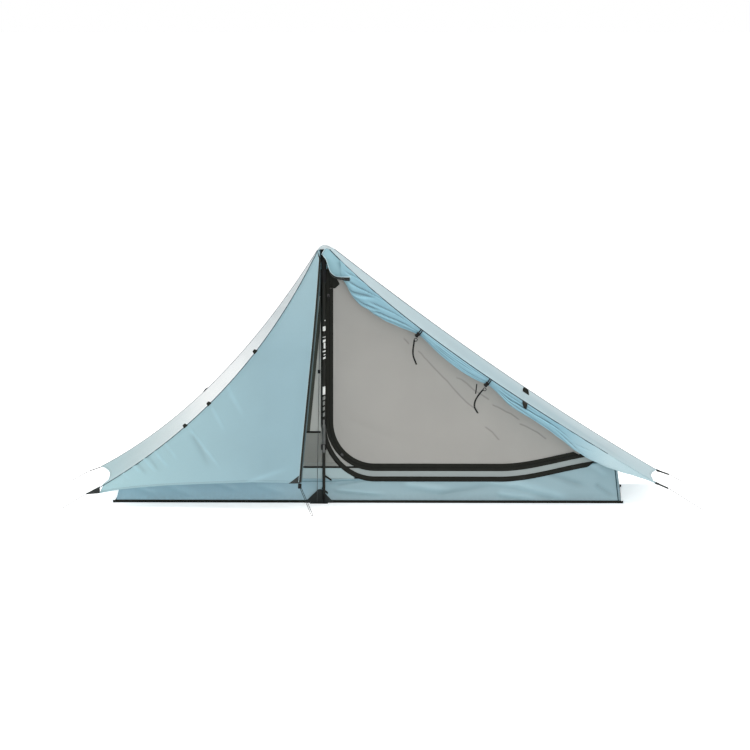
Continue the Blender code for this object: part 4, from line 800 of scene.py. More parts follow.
def held_edges(points):
    """0 on the two sides and at the top, where the cloth is sewn, and 1 inside."""
    rows, columns = points.shape[:2]
    u = np.linspace(0.0, 1.0, columns)[None, :]
    v = np.linspace(0.0, 1.0, rows)[:, None]
    return smoothstep(u / 0.12) * smoothstep((1 - u) / 0.12) * smoothstep(v / 0.1)


def waved(points, *waves, sink=0.0, folds=0.0):
    """Cloth moved along its own normal by slow waves less a sink, which die out at its sewn edges, and
    by folds, which don't."""
    push = (sum(ripple(points, *wave) for wave in waves) - sink) * held_edges(points) + folds
    return points + normals(points) * push[..., None]


def hem_distance(points):
    """How far each point lies above the panel's lower hem."""
    run = lengths(points, 0)
    return run[-1:] - run


rear = facing(panel(FAR_LEFT, FAR_RIGHT, (0.0, -0.06, 0.035), 120, 150), BEHIND)
rear = waved(rear, (0.55, 0.004, (1.0, 0.0, 0.5)), (0.23, 0.0015, (1.0, 0.0, -0.8), 1.0))
sew("fly_rear", rear, FLY_BLUE, "fly_rear_panel", held="stretched", rests_on="pole_grip",
    hem=hem_distance(rear))
for (side, (way, near, far, bow, corner_x)), finish in zip(ENDS.items(), (LEFT_PALE_PAINTED_LIGHT, RIGHT_PALE_PAINTED_LIGHT)):
    grid = facing(panel(near, far, bow, 120, 60), (9.0 * way, 0.0, 2.0))
    grid = waved(grid, (0.45, 0.002, (0.3, 1.0, 0.0)))
    sew(f"fly_{side}_end", grid, finish, f"fly_{side}_end_panel", held="stretched", rests_on="pole_grip",
        hem=hem_distance(grid))

# %% [markdown]
# ### The shut door
#
# The left door is the panel nearest the camera, so it gets the finest grid and the creases that the
# photograph shows: one long crease from the lowest tab and a group of short ones above the left corner.
# It opens about its ridge. The ridge stays sewn: near the ridge the cloth stays with the tent, and
# further down it swings with the door.

# %% Shut door
DOOR_START, DOOR_ROWS, DOOR_COLUMNS = 0.004, 200, 190
# The edge is cut back a little at the peak, and the left corner hangs a little
NOTCH_WIDTH, NOTCH_SHARE = 0.009, 0.035
CORNER_SAG, SAG_SHARE = 0.024, 0.015
# Start and end of each fold in X and Z, its width and its height
DOOR_FOLDS = (
    ((-0.815, 0.365), (-0.645, 0.170), 0.005, 0.0040), ((-0.80, 0.34), (-0.70, 0.18), 0.012, -0.0022),
    ((-0.71, 0.46), (-0.64, 0.34), 0.006, 0.0024), ((-0.64, 0.55), (-0.55, 0.40), 0.009, 0.0018),
    ((-1.07, 0.195), (-1.02, 0.150), 0.005, 0.0034), ((-1.02, 0.225), (-0.95, 0.155), 0.005, 0.0036),
    ((-0.97, 0.255), (-0.89, 0.175), 0.005, 0.0036), ((-1.12, 0.165), (-1.07, 0.120), 0.005, 0.0028),
    ((-0.92, 0.290), (-0.85, 0.210), 0.005, 0.0028), ((-1.00, 0.235), (-0.93, 0.160), 0.006, -0.0024),
    ((-1.05, 0.205), (-0.99, 0.145), 0.006, -0.0024), ((-0.55, 0.12), (-0.33, 0.20), 0.010, 0.0020),
)


def share_with_door(piece):
    """Bake the piece's place into its mesh."""
    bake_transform(piece)


shut = panel(NEAR_LEFT, DOOR_EDGE, (0.0, 0.0, 0.010), DOOR_ROWS, DOOR_COLUMNS, start=DOOR_START)
u = np.linspace(0.0, 1.0, DOOR_COLUMNS)[None, :]
v = np.linspace(0.0, 1.0, DOOR_ROWS)[:, None]
shut[..., 2] -= CORNER_SAG * (1 - u) ** 5 * smoothstep((v - 1 + SAG_SHARE) / SAG_SHARE)
shut[..., 0] -= NOTCH_WIDTH * u ** 6 * (1 - smoothstep(v / NOTCH_SHARE))
shut = facing(shut, IN_FRONT)
folds = sum(crease(shut, *fold) for fold in DOOR_FOLDS)
shut = waved(shut, (0.62, 0.004, (1.0, 0.0, -0.6)), (0.31, 0.0012, (1.0, 0.0, 0.7), 2.0), folds=folds)
# The creases also set painted light on the door: painted shade where they sink and a painted highlight where
# they stand up.
share_with_door(sew("fly_shut_door", shut, FLY_BLUE, "fly_left_door", held="stretched", rests_on="pole_grip",
                    body=None, hem=hem_distance(shut), folds=np.clip(-folds / 0.010, -0.5, 0.4)))

# %% [markdown]
# The door's free edge carries half of the storm zip: a dark tape on the very edge, a pale piping beside it,
# and a flap behind it that keeps the rain out of the zip.

# %% Edge of the shut door
FLAP_WIDTH = 0.0065
edge_share = np.linspace(DOOR_START, 0.995, 220)
free_edge = bezier(DOOR_EDGE, edge_share)
free_edge[:, 0] -= NOTCH_WIDTH * (1 - smoothstep(edge_share / NOTCH_SHARE))
inwards = unit(bezier(NEAR_LEFT, edge_share) - free_edge)
outwards = unit(np.cross(np.gradient(free_edge, axis=0), inwards))
outwards = np.where(outwards[:, 1:2] > 0.0, -outwards, outwards)
flap = FLAP_WIDTH * smoothstep((edge_share - 0.05) / 0.12)[:, None]
# Name, where the strip starts and ends inwards of the edge, its lift off the cloth, and its finish
for name, start, end, lift, finish in (("edge_zip", -0.0030, 0.0065, 0.0038, BLACK_TAPE),
                                       ("edge_piping", 0.0065, 0.0085, 0.0034, PIPING_PALE),
                                       ("edge_flap", -flap, 0.0, -0.0014, FLAP_GREY)):
    line = free_edge + outwards * lift
    ribbon = strip(name, line + inwards * start, line + inwards * end, 4)
    share_with_door(dress(ribbon, finish, body=None, slot="fly_left_door"))
print("storm flap:", FLAP_WIDTH * 1000, "mm wide")

# %% [markdown]
# ## The inner tent
#
# The inner is hung from the same ridges, 25 mm lower. Its front wall is flat, so its pieces are surfaces
# between two lines in one plane: the ridge above and the zip's path below. The zip goes straight down
# beside the pole, turns through a wide elliptic corner and runs along the foot of the door.

# %% Inner lines
INNER_NEAR_Y, INNER_BACK_Y = FRONT_Y + 0.0013, FLOOR_WIDTH / 2 - CLOTH / 2
INNER_CROWN_Y = INNER_NEAR_Y + 0.012
CROWN_SHARE = 0.075
RISE_START = FLOOR_LENGTH / 2 - 0.55
FINE = np.linspace(0.0, 1.0, 1201)
TOP_POINT, FOOT_POINT = np.array([0.0]), np.array([1.0])


def inner_near(side, share):
    """A front ridge of the inner: a fly ridge lowered, ending over the bathtub's corner."""
    way, near, far, bow, corner_x = ENDS[side]
    reach = share_at(near, corner_x)
    points = bezier(near, reach * CROWN_SHARE + reach * (1 - CROWN_SHARE) * np.asarray(share))
    points[..., 1] = INNER_NEAR_Y
    points[..., 2] -= INNER_DROP
    return points


def inner_far(side, share):
    """A rear ridge of the inner: straight behind the near one and just under the fly's end panel.

    The end panel's height over (x, y) is read where a line of constant y crosses that x."""
    way, near_controls, far_controls, bow, corner_x = ENDS[side]
    near = inner_near(side, share)
    y = INNER_CROWN_Y + (INNER_BACK_Y - INNER_CROWN_Y) * np.asarray(share)
    a = bezier(near_controls, FINE)[:, None]
    b = bezier(far_controls, FINE)[:, None]
    u = (y[None, :] - a[..., 1]) / (b[..., 1] - a[..., 1])
    line = a + (b - a) * u[..., None] + (4 * u * (1 - u) * FINE[:, None] ** 3)[..., None] * np.asarray(bow)
    closest = np.abs(line[..., 0] - near[None, :, 0]).argmin(axis=0)
    z = line[closest, np.arange(len(y)), 2]
    return np.stack([near[:, 0], y, z - INNER_DROP], axis=-1)


END_LEFT_Z, END_RIGHT_Z = (float(inner_near(side, FOOT_POINT)[0, 2]) - CLOTH - 0.0018 for side in ENDS)


def front_rise(x):
    """How far the bathtub's front edge rises towards its right corner: an even S."""
    return (END_RIGHT_Z - WALL_HEIGHT) * smoothstep((x - RISE_START) / (RIGHT_TOP_X - RISE_START))


def front_top(x):
    """Height of the bathtub's front wall."""
    fall = (END_LEFT_Z - WALL_HEIGHT) * smoothstep((x + RISE_START) / (LEFT_TOP_X + RISE_START))
    return WALL_HEIGHT + front_rise(x) + fall


print("inner corners at", round(END_LEFT_Z, 3), "and", round(END_RIGHT_Z, 3))

# %% Inner ends and rear
share = np.linspace(0.0, 1.0, 90)
for side, (way, *_) in ENDS.items():
    grid = facing(between(inner_near(side, share), inner_far(side, share), 50), (9.0 * way, 0.0, 1.0))
    grid = waved(grid, (0.3, 0.0015, (0.2, 1.0, 0.3)))
    sew(f"inner_end_{side}", grid, INNER_GREY, f"inner_{side}_end", hem=hem_distance(grid))

REAR_COLUMNS = 110
u = np.linspace(0.0, 1.0, REAR_COLUMNS)
canopy = between(inner_far("left", share), inner_far("right", share), REAR_COLUMNS)
left_z, right_z = canopy[-1, 0, 2], canopy[-1, -1, 2]
wall_top = (WALL_HEIGHT + (left_z - WALL_HEIGHT) * (1 - smoothstep(2 * u))
            + (right_z - WALL_HEIGHT) * smoothstep(2 * u - 1))
canopy[..., 2] += (wall_top - (left_z + (right_z - left_z) * u))[None, :] * (share ** 3)[:, None]
rear_seam = canopy[-1].copy()
canopy = waved(facing(canopy, BEHIND), (0.4, 0.002, (1.0, 0.0, 0.4)))
sew("inner_rear", canopy, INNER_GREY, "inner_rear_wall", hem=hem_distance(canopy))

# %% [markdown]
# ### Bathtub
#
# The floor is one coated cloth, turned up at all sides like a shallow bath and bound at its foot with a
# black tape. The long walls have soft diagonal pulls between the corners and the middle.

# %% Floor and walls
FLOOR_Z, WALL_FOOT_Z, END_FOOT_Z, TOP_GAP = 0.0005, 0.0013, 0.0018, 0.0009
# Start and end of each fold in X and Z, its width and its height
WALL_FOLDS = (
    ((-1.10, 0.10), (-0.95, 0.03), 0.014, 0.006), ((-0.93, 0.09), (-0.76, 0.02), 0.016, 0.005),
    ((-0.70, 0.10), (-0.58, 0.05), 0.012, 0.005), ((-0.52, 0.09), (-0.36, 0.04), 0.014, 0.005),
    ((-0.16, 0.09), (0.04, 0.13), 0.006, 0.004), ((-0.16, 0.06), (0.10, 0.04), 0.008, 0.006),
    ((-0.15, 0.075), (0.02, 0.105), 0.006, -0.004), ((0.15, 0.09), (0.40, 0.05), 0.016, 0.005),
    ((0.30, 0.03), (0.58, 0.08), 0.014, -0.004), ((0.44, 0.12), (0.70, 0.07), 0.012, 0.005),
    ((0.62, 0.10), (0.95, 0.015), 0.018, 0.010), ((0.58, 0.05), (0.80, 0.015), 0.014, 0.008),
    ((0.80, 0.14), (1.02, 0.06), 0.014, -0.006), ((1.03, 0.09), (1.125, 0.025), 0.007, -0.006),
    ((1.00, 0.19), (1.10, 0.12), 0.012, 0.006),
)
half_length, inner_y = FLOOR_LENGTH / 2, FLOOR_WIDTH / 2 - CLOTH / 2
near_row, far_row = (span((-half_length, y, FLOOR_Z), (half_length, y, FLOOR_Z), count=60)
                     for y in (-inner_y, inner_y))
sew("groundsheet_cloth", facing(between(near_row, far_row, 24), ABOVE), FLOOR_BLUE, "inner_floor",
    held="laid", rests_on="pole_foot_patch", thickness=CLOTH)

x = np.linspace(-half_length, half_length, 220)
top_x = np.clip(x, LEFT_TOP_X, RIGHT_TOP_X)
rise = np.linspace(0.0, 1.0, 26)[:, None]


def long_wall(name, top_z, y, out, rests_on):
    """A long wall: its foot is straight, its top follows top_z, and soft folds lean it in and out."""
    lean_x = x[None, :] + (top_x - x)[None, :] * rise
    z = WALL_FOOT_Z + (top_z[None, :] - WALL_FOOT_Z) * rise
    pulls = sum(crease(np.stack([lean_x, 0 * z, z], axis=-1), *fold) for fold in WALL_FOLDS)
    waves_in = 0.0015 * np.sin(2 * math.pi * (x[None, :] + z * 2.0) / 0.47) - 0.0065
    depth = out * (waves_in + pulls) * np.sin(math.pi * rise) ** 0.5
    # The pulls also paint the wall: painted shade where they sink in and a painted highlight where they stand
    # out.
    wall, folds = facing(np.stack([lean_x, y + depth, z], axis=-1), (0.0, 9.0 * out, 0.0),
                         np.clip(-pulls / 0.012, -0.55, 0.8))
    sew(f"bathtub_{name}", wall, FLOOR_BLUE, f"bathtub_{name}_wall", rests_on=rests_on, thickness=CLOTH,
        folds=folds)


long_wall("front", front_top(top_x), -inner_y, -1.0, "inner_vent_strip")
long_wall("rear", np.interp(x, rear_seam[:, 0], rear_seam[:, 2]), inner_y, 1.0, "inner_rear_wall")
u = np.linspace(0.0, 1.0, 50)
y = INNER_NEAR_Y + (FLOOR_WIDTH / 2 - WALL_FOOT_Z - INNER_NEAR_Y) * u
for side, (way, *_) in ENDS.items():
    near, far = inner_near(side, FOOT_POINT)[0], inner_far(side, FOOT_POINT)[0]
    top_z = near[2] * (1 - u) + far[2] * u - TOP_GAP
    top = np.stack([np.full(50, near[0] - way * CLOTH / 2), y, top_z], axis=-1)
    foot = np.stack([np.full(50, way * (half_length - CLOTH / 2)), y, np.full(50, END_FOOT_Z)], axis=-1)
    sew(f"bathtub_{side}", facing(between(foot, top, 16), (9.0 * way, 0.0, 0.0)), FLOOR_BLUE,
        f"bathtub_{side}_wall", rests_on=f"inner_{side}_end", thickness=CLOTH)
print("floor", FLOOR_LENGTH, "x", FLOOR_WIDTH, "m")

# %% [markdown]
# ### The zipped door
#
# The door's cloth runs without a seam from the zip up to the right ridge, so it is one piece from the
# ridge to the zip. It opens about a line under the ridge, and the cloth above that line stays where it
# is.

# %% Door outline
DOOR_LEFT_X, DOOR_BOTTOM_Z = -0.158, 0.18
CORNER_RADIUS = 0.19
COIL_OFFSET, COIL_GAP = 0.016, 0.001
COIL_X = DOOR_LEFT_X - COIL_OFFSET
ZIP_BAND, SILL_LOWER = 0.034, 0.059
TAPE_SIDE, TAPE_LOWER = 0.056, 0.082
ZIP_BAND_END_X, SILL_BAND_END_X = FLOOR_LENGTH / 2 - 0.18, FLOOR_LENGTH / 2 - 0.13
HINGE_TOP = (COIL_X, 0.9955)
HINGE_END = (ZIP_BAND_END_X, 0.2142)
UPRIGHT_Y = FRONT_Y + CLOTH / 2


def hinge_height(x):
    """Height of the straight line about which the door opens."""
    return HINGE_TOP[1] + (HINGE_END[1] - HINGE_TOP[1]) * (x - HINGE_TOP[0]) / (HINGE_END[0] - HINGE_TOP[0])


def zip_line(side, drop, end_x, top_z, count=(60, 50, 130)):
    """The zip's path at a distance outside the door's edge: straight down, round a quarter of an
    ellipse, then along the foot, which rises at its right end. Returns rows of (x, z)."""
    middle_x, middle_z = DOOR_LEFT_X + CORNER_RADIUS, DOOR_BOTTOM_Z + CORNER_RADIUS
    z = np.linspace(top_z, middle_z, count[0], endpoint=False)
    straight = np.stack([np.full(count[0], DOOR_LEFT_X - side), z], axis=-1)
    turn = np.linspace(0.0, math.pi / 2, count[1], endpoint=False)
    bend = np.stack([middle_x - (CORNER_RADIUS + side) * np.cos(turn),
                     middle_z - (CORNER_RADIUS + drop) * np.sin(turn)], axis=-1)
    run = np.linspace(middle_x, end_x, count[2])
    foot = np.stack([run, DOOR_BOTTOM_Z - drop + front_rise(run)], axis=-1)
    return np.concatenate([straight, bend, foot])


def wall_points(line, y):
    """Points of a line of (x, z) in an upright plane."""
    return np.stack([line[:, 0], np.full(len(line), y), line[:, 1]], axis=-1)


def wall_cloth(line_a, line_b, columns, y=UPRIGHT_Y):
    """Cloth in an upright plane between two lines of (x, z)."""
    return facing(between(wall_points(line_a, y), wall_points(line_b, y), columns), IN_FRONT)


def spaced(line, count):
    """The same line with evenly spaced points."""
    run = lengths(line, 0)
    place = run[-1] * np.linspace(0.0, 1.0, count)
    return np.stack([np.interp(place, run, line[:, k]) for k in range(line.shape[1])], axis=-1)


print("hinge line meets the band at", HINGE_END)

# %% Door cloth
# Start and end of each fold in X and Z, its width and its height
FOLDS = (((0.02, 0.98), (0.55, 0.30), 0.030, 0.0030), ((0.10, 0.86), (0.30, 0.40), 0.030, 0.0025),
         ((-0.14, 0.40), (0.25, 0.22), 0.022, -0.0025))
# Points in X and Z of each thin fold
THIN_FOLDS = (
    ((0.1638, 0.7499), (0.1740, 0.7400), (0.1847, 0.7271)),
    ((0.2302, 0.6916), (0.2420, 0.6830), (0.2560, 0.6640), (0.2684, 0.6524), (0.3010, 0.6160),
     (0.3406, 0.5749), (0.3600, 0.5570), (0.3840, 0.5280), (0.4184, 0.4897), (0.4500, 0.4580),
     (0.4956, 0.4245)),
    ((0.4047, 0.5708), (0.4250, 0.5640), (0.4502, 0.5448), (0.4800, 0.5170), (0.5093, 0.4992),
     (0.5484, 0.4732)),
    ((0.5679, 0.4472), (0.5950, 0.4360), (0.6261, 0.4181), (0.6500, 0.4080), (0.6847, 0.3821)),
    ((0.6911, 0.3607), (0.7150, 0.3520), (0.7411, 0.3379), (0.7700, 0.3230), (0.8079, 0.2941)),
    ((0.5352, 0.3470), (0.5650, 0.3250), (0.5938, 0.2909)),
)
THIN_FOLD_WIDTH, THIN_FOLD_HEIGHT = 0.0028, 0.0012
DOOR_SINK = 0.001
crown_z = float(inner_near("right", TOP_POINT)[0, 2]) - CLOTH
edge = inner_near("right", np.linspace(0.0, 1.0, 400))[:, [0, 2]]
edge = edge[(edge[:, 0] > COIL_X + 0.002) & (edge[:, 0] < ZIP_BAND_END_X)]
zip_near = COIL_OFFSET - COIL_GAP / 2
low = zip_line(zip_near, zip_near, ZIP_BAND_END_X, edge[0, 1] - 0.004)
grid = wall_cloth(spaced(edge, 250), spaced(low, 250), 190)
across = np.linspace(0.0, 1.0, 190)
hold = smoothstep(across / 0.08) * smoothstep((0.965 - across) / 0.08)
push = ripple(grid, 0.5, 0.0025, (1.0, 0.0, 0.8)) + ripple(grid, 0.19, 0.0010, (1.0, 0.0, -1.4), 0.7)
push = push + sum(crease(grid, *fold) for fold in FOLDS)
thin = sum(bump(nearest_line(grid, line), 0.0, THIN_FOLD_WIDTH) for line in THIN_FOLDS)
push = (push + THIN_FOLD_HEIGHT * thin - DOOR_SINK) * hold[None, :]
grid = grid + normals(grid) * push[..., None]
# The thin folds also get painted shade along their lines.
door_piece = sew("inner_door_cloth", grid, INNER_GREY, "inner_door", "inner_door_header", body=None,
                 folds=np.clip(thin, 0.0, 1.0))
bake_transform(door_piece)

# %% Fixed front wall
VENT_TOP = 0.323
PANEL_ROWS = 120
SILL_LIFT = 0.0009
ridge = inner_near("left", np.linspace(0.0, 1.0, 500))[:, [0, 2]]
over_vent = ridge[:, 1] - CLOTH > VENT_TOP
upper, left_edge = ridge[over_vent] - (0.0, CLOTH), ridge[~over_vent] - (0.0, CLOTH)
height = np.linspace(upper[0, 1], VENT_TOP, PANEL_ROWS)
outer_x = np.interp(-height, -upper[:, 1], upper[:, 0])
zip_side = np.stack([np.full(PANEL_ROWS, COIL_X - COIL_GAP), height], axis=-1)
grid = wall_cloth(np.stack([outer_x, height], axis=-1), zip_side, 40)
grid = waved(grid, (0.25, 0.0012, (1.0, 0.0, 0.5)), sink=0.0014)
# Its finish is the inner's grey with painted light from behind.
sew("inner_front_cloth", grid, INNER_PALE_PAINTED_BACKLIGHT, "inner_front_panel")

top_z = VENT_TOP - CLOTH
sill_drop = DOOR_BOTTOM_Z - WALL_HEIGHT - SILL_LIFT
sill_lines = (zip_line(side, drop, SILL_BAND_END_X, top_z + 0.15)
              for side, drop in ((COIL_OFFSET + COIL_GAP, COIL_OFFSET + COIL_GAP), (TAPE_SIDE, sill_drop)))
grid = wall_cloth(*(spaced(line[line[:, 1] <= top_z], 150) for line in sill_lines), 12)
sew("sill_cloth", grid, SILL_GREY, "door_sill", rests_on="bathtub_front_wall")

# %% [markdown]
# ### Vent
#
# The vent is a strip of insect mesh between the upper cloth and the bathtub. Modelling its threads one
# by one would take hundreds of thousands of faces, so the finish makes them: it is solid on the threads
# and open between them.

# %% Vent mesh
VENT_FOOT, VENT_REACH = 0.163, 0.10
tape_outer = zip_line(TAPE_SIDE + CLOTH, sill_drop, ZIP_BAND_END_X, top_z)
arc = tape_outer[tape_outer[:, 0] > DOOR_LEFT_X - TAPE_SIDE - CLOTH + 1e-4]
vent_x = np.linspace(left_edge[-1, 0], arc[-1, 0], 420)
vent_x = vent_x[vent_x < DOOR_LEFT_X + VENT_REACH]
limit = np.interp(vent_x, arc[:, 0], arc[:, 1], left=9.0)
ceiling = np.minimum(np.interp(vent_x, left_edge[::-1, 0], left_edge[::-1, 1], right=top_z), limit)
bottom = front_top(vent_x) + SILL_LIFT
ceiling = np.maximum(ceiling, bottom + 0.0005)
split = np.clip(VENT_FOOT, bottom, ceiling)
levels = [np.stack([vent_x, level], axis=-1) for level in (ceiling, split, bottom)]
sew("vent_mesh_strip", wall_cloth(levels[0], levels[1], 18), VENT_MESH, "inner_vent_strip",
    rests_on="bathtub_front_wall", thickness=0.0005)
sew("vent_cloth_band", wall_cloth(levels[1], levels[2], 8), BAND_BLUE, slot="inner_vent_strip",
    rests_on="bathtub_front_wall")

# %% [markdown]
# ### Zip and tapes
#
# The black bands are woven tape sewn on the wall, and the zip is a coil between two of them. A tape is
# the strip between two parallel lines, so the zip's path is asked for twice, at two distances, and the
# strip fills the space. Its map runs along the tape, so the weave follows the bend.

# %% Tapes
TAPE_Y = FRONT_Y - 0.0010
UPPER_END, LOWER_END = ZIP_BAND_END_X + 0.03, SILL_BAND_END_X + 0.015
TAPER_LENGTH = 0.040
DOOR_ZIP_END, COIL_LIFT, COIL_RADIUS = 0.955, 0.0012, 0.0014
zip_top = hinge_height(DOOR_LEFT_X) - 0.006


def tape(name, line_a, line_b, y=TAPE_Y, columns=5):
    """A tape on the front wall between two lines of (x, z) with the same number of points."""
    return strip(name, wall_points(np.asarray(line_a), y), wall_points(np.asarray(line_b), y), columns,
                 thickness=CLOTH)


def ribbon_on_wall(name, line, half_width, y=TAPE_Y, columns=3, way=(1.0, 0.0)):
    """A tape along a line of (x, z), half its width to either side."""
    aside = half_width * np.asarray(way)
    return tape(name, line - aside, line + aside, y, columns)


zip_far = COIL_OFFSET + COIL_GAP / 2
upper_band = tape("upper_band", zip_line(zip_far, zip_far, UPPER_END, crown_z),
                  zip_line(ZIP_BAND, ZIP_BAND, UPPER_END, crown_z))
lower_rim = zip_line(TAPE_SIDE, TAPE_LOWER, LOWER_END, crown_z)
taper = smoothstep((lower_rim[:, 0] - LOWER_END) / TAPER_LENGTH + 1.0)
lower_rim[:, 1] += 0.9 * (TAPE_LOWER - SILL_LOWER) * taper
lower_band = tape("lower_band", zip_line(ZIP_BAND, SILL_LOWER, LOWER_END, crown_z), lower_rim)
crown_strip = np.array([(DOOR_LEFT_X, crown_z), (DOOR_LEFT_X, zip_top + 0.001)])
crown_band = tape("crown_band", crown_strip - (zip_near, 0.0), crown_strip)
dress(join("door_bands", [upper_band, lower_band, crown_band]), BLACK_TAPE, "door_frame_tape")
door_band = tape("door_zip_band", zip_line(zip_near, zip_near, DOOR_ZIP_END, zip_top),
                 zip_line(0.0, 0.0, DOOR_ZIP_END - 0.020, zip_top))
dress(door_band, BLACK_TAPE, "door_zip_tape", body="inner_door")
# The garage is the flap over the zip's upper end: the points of its two sides, X from the door's edge
GARAGE = (((-0.001, 1.050), (-0.001, 1.000), (-0.001, 0.978)),
          ((0.001, 1.050), (0.030, 0.998), (0.008, 0.978)))
garage = tape("zip_garage", *(np.array(line) + (DOOR_LEFT_X, 0.0) for line in GARAGE), TAPE_Y - 0.001, 3)
dress(garage, BLACK_TAPE, slot="inner_door_header")

SEAM_HALF, CROWN_TAPE_HALF, BINDING_HALF = 0.0075, 0.012, 0.0042
SEAM_TOP = PEAK_Z - 0.230
seam_x = DOOR_LEFT_X - TAPE_SIDE - 0.0003
lean = np.array([(seam_x + 0.0030, SEAM_TOP), (seam_x - 0.0575, VENT_TOP + 0.005)])
dress(ribbon_on_wall("seam", lean, SEAM_HALF), GREY_TAPE, "inner_front_tape")
crown_line = np.array([(seam_x + 0.0095, crown_z - 0.024), (seam_x + 0.0060, SEAM_TOP + 0.002)])
crown_tape = ribbon_on_wall("crown_tape", crown_line, CROWN_TAPE_HALF, columns=5)
dress(crown_tape, BLACK_TAPE, slot="inner_front_tape")
left_x = float(np.interp(-VENT_TOP, -upper[:, 1], upper[:, 0])) + 0.03
bindings = []
for name, level, end_x in (("upper", VENT_TOP, arc[0, 0]), ("lower", VENT_FOOT, arc[0, 0] + 0.205)):
    line = np.array([(left_x, level), (end_x, level)])
    bindings.append(ribbon_on_wall(f"binding_{name}", line, BINDING_HALF, TAPE_Y + 0.0004, way=(0.0, -1.0)))
dress(join("vent_bindings", bindings), BLACK_TAPE, slot="inner_front_tape")

coil_path = spaced(zip_line(COIL_OFFSET, COIL_OFFSET, DOOR_ZIP_END, crown_z - 0.01), 900)
coil = tube("zip_coil", wall_points(coil_path, TAPE_Y - COIL_LIFT), COIL_RADIUS, sides=6)
dress(coil, BLACK_CORD, slot="door_frame_tape")
print("zip length", round(float(lengths(coil_path, 0)[-1]), 2), "m")

# %% Seams of the bathtub
CORNER_SEAM, CORNER_SEAM_HALF = np.array([(1.1230, 0.158), (1.1385, 0.012)]), 0.002
TOP_SEAM_HALF, TOP_SEAM_DROP = 0.0024, 0.012
# Start and end in X and Z, and width
TUB_TABS = (((-0.196, 0.124), (-0.166, 0.104), 0.009), ((-0.209, 0.066), (-0.182, 0.044), 0.010))
corner_seam = ribbon_on_wall("corner_seam", CORNER_SEAM, CORNER_SEAM_HALF, FRONT_Y - 0.0022)
dress(corner_seam, SEAM_TEAL, slot="bathtub_front_wall")
x = np.linspace(LEFT_TOP_X + 0.01, RIGHT_TOP_X - 0.01, 200)
lowered = 0.0005 + TOP_SEAM_DROP * (1 - smoothstep((x + 0.22) / 0.28))
top_line = np.stack([x, front_top(x) - lowered], axis=-1)
top_seam = ribbon_on_wall("top_seam", top_line, TOP_SEAM_HALF, FRONT_Y - 0.0006, way=(0.0, -1.0))
dress(top_seam, SEAM_SOFT, slot="bathtub_front_wall")
tabs = [ribbon_on_wall("tub_tab", np.array([start, end]), wide / 2, FRONT_Y - 0.004, way=(0.0, -1.0))
        for start, end, wide in TUB_TABS]
dress(join("tub_tabs", tabs), BLACK_TAPE, slot="bathtub_front_wall")
print("tabs on the front wall:", len(tabs))

# %% [markdown]
# ## The rolled door
#
# The right door is the same triangle of cloth as the left one, rolled up to its ridge and tied twice. So
# it is made as the real thing is: one sheet that starts at the ridge seam, goes down the front, round
# the bottom and up behind, and goes on inwards as a spiral. The roll is thick between the ties and
# thin at them, with long folds that run from tie to tie.

# %% Rolled door
ROLL_TURNS, ROLL_ROWS, ROLL_COLUMNS, LIP_COLUMNS = 2.4, 330, 130, 6
ROLL_START = math.radians(78.0)
SEAM_GAP, ROLL_CLOTH = 0.0012, 0.0006
# As shares of the radius: wide lobes all along, and small gathers and a squeeze at each tie
LOBE_DEPTH, GATHER_DEPTH, TIE_SQUEEZE, GATHER_WIDTH = 0.05, 0.07, 0.05, 0.022
# Small crumples, stronger above the first tie and again below the second
CRUMPLE, CRUMPLE_ABOVE, CRUMPLE_BELOW = 0.012, 0.035, 0.030
# The spiral gets narrower twice; the open upper end is cut on a slant
FIRST_TURN_IN, LAST_TURN_IN, END_SLANT = 0.42, 0.38, 0.022
# Long folds of the outer turn: angle at the middle share, share, twist, width, depth, first and last share
ROLL_FOLDS = (
    (128, 0.09, -14.0, 0.14, 0.12, 0.05, 0.17), (152, 0.13, -11.0, 0.11, 0.20, 0.06, 0.22),
    (196, 0.12, -16.0, 0.13, 0.24, 0.06, 0.19), (232, 0.14, -12.0, 0.12, 0.20, 0.08, 0.21),
    (164, 0.21, -9.0, 0.12, 0.18, 0.15, 0.29), (206, 0.22, -7.0, 0.13, 0.22, 0.16, 0.31),
    (242, 0.24, -4.0, 0.10, 0.14, 0.18, 0.33), (138, 0.28, -3.0, 0.10, 0.14, 0.23, 0.35),
    (186, 0.30, -2.0, 0.10, 0.18, 0.25, 0.36), (222, 0.31, 1.5, 0.09, 0.14, 0.27, 0.36),
    (132, 0.42, 0.8, 0.12, 0.14, 0.33, 0.55), (161, 0.44, -1.8, 0.08, 0.15, 0.34, 0.51),
    (186, 0.42, 1.4, 0.09, 0.18, 0.33, 0.47), (204, 0.49, -1.0, 0.08, 0.17, 0.40, 0.55),
    (226, 0.43, 0.7, 0.09, 0.17, 0.34, 0.54), (246, 0.45, -0.5, 0.08, 0.12, 0.36, 0.52),
    (176, 0.62, -3.6, 0.13, 0.38, 0.55, 0.74), (146, 0.60, -1.5, 0.11, 0.16, 0.54, 0.68),
    (214, 0.60, 2.5, 0.11, 0.20, 0.54, 0.68), (236, 0.66, -2.2, 0.10, 0.18, 0.57, 0.76),
    (158, 0.72, 6.0, 0.10, 0.18, 0.67, 0.77), (204, 0.76, 9.0, 0.10, 0.18, 0.71, 0.80),
    (176, 0.80, -8.0, 0.09, 0.10, 0.76, 0.83), (228, 0.79, 12.0, 0.08, 0.10, 0.76, 0.83),
)
share = np.linspace(ROLL_KEYS[0][0], ROLL_KEYS[-1][0], ROLL_ROWS)
middle, height, depth = (values[:, None] for values in roll_middle(share))
turns = np.linspace(0.0, ROLL_TURNS, ROLL_COLUMNS)[None, :]
s = share[:, None]
a = ROLL_START + 2 * math.pi * turns
gather = sum(bump(s, tie, GATHER_WIDTH) for tie in TIE_SHARES)
form = 1.0 + LOBE_DEPTH * np.cos(3 * a + 9.0 * s + 0.8)
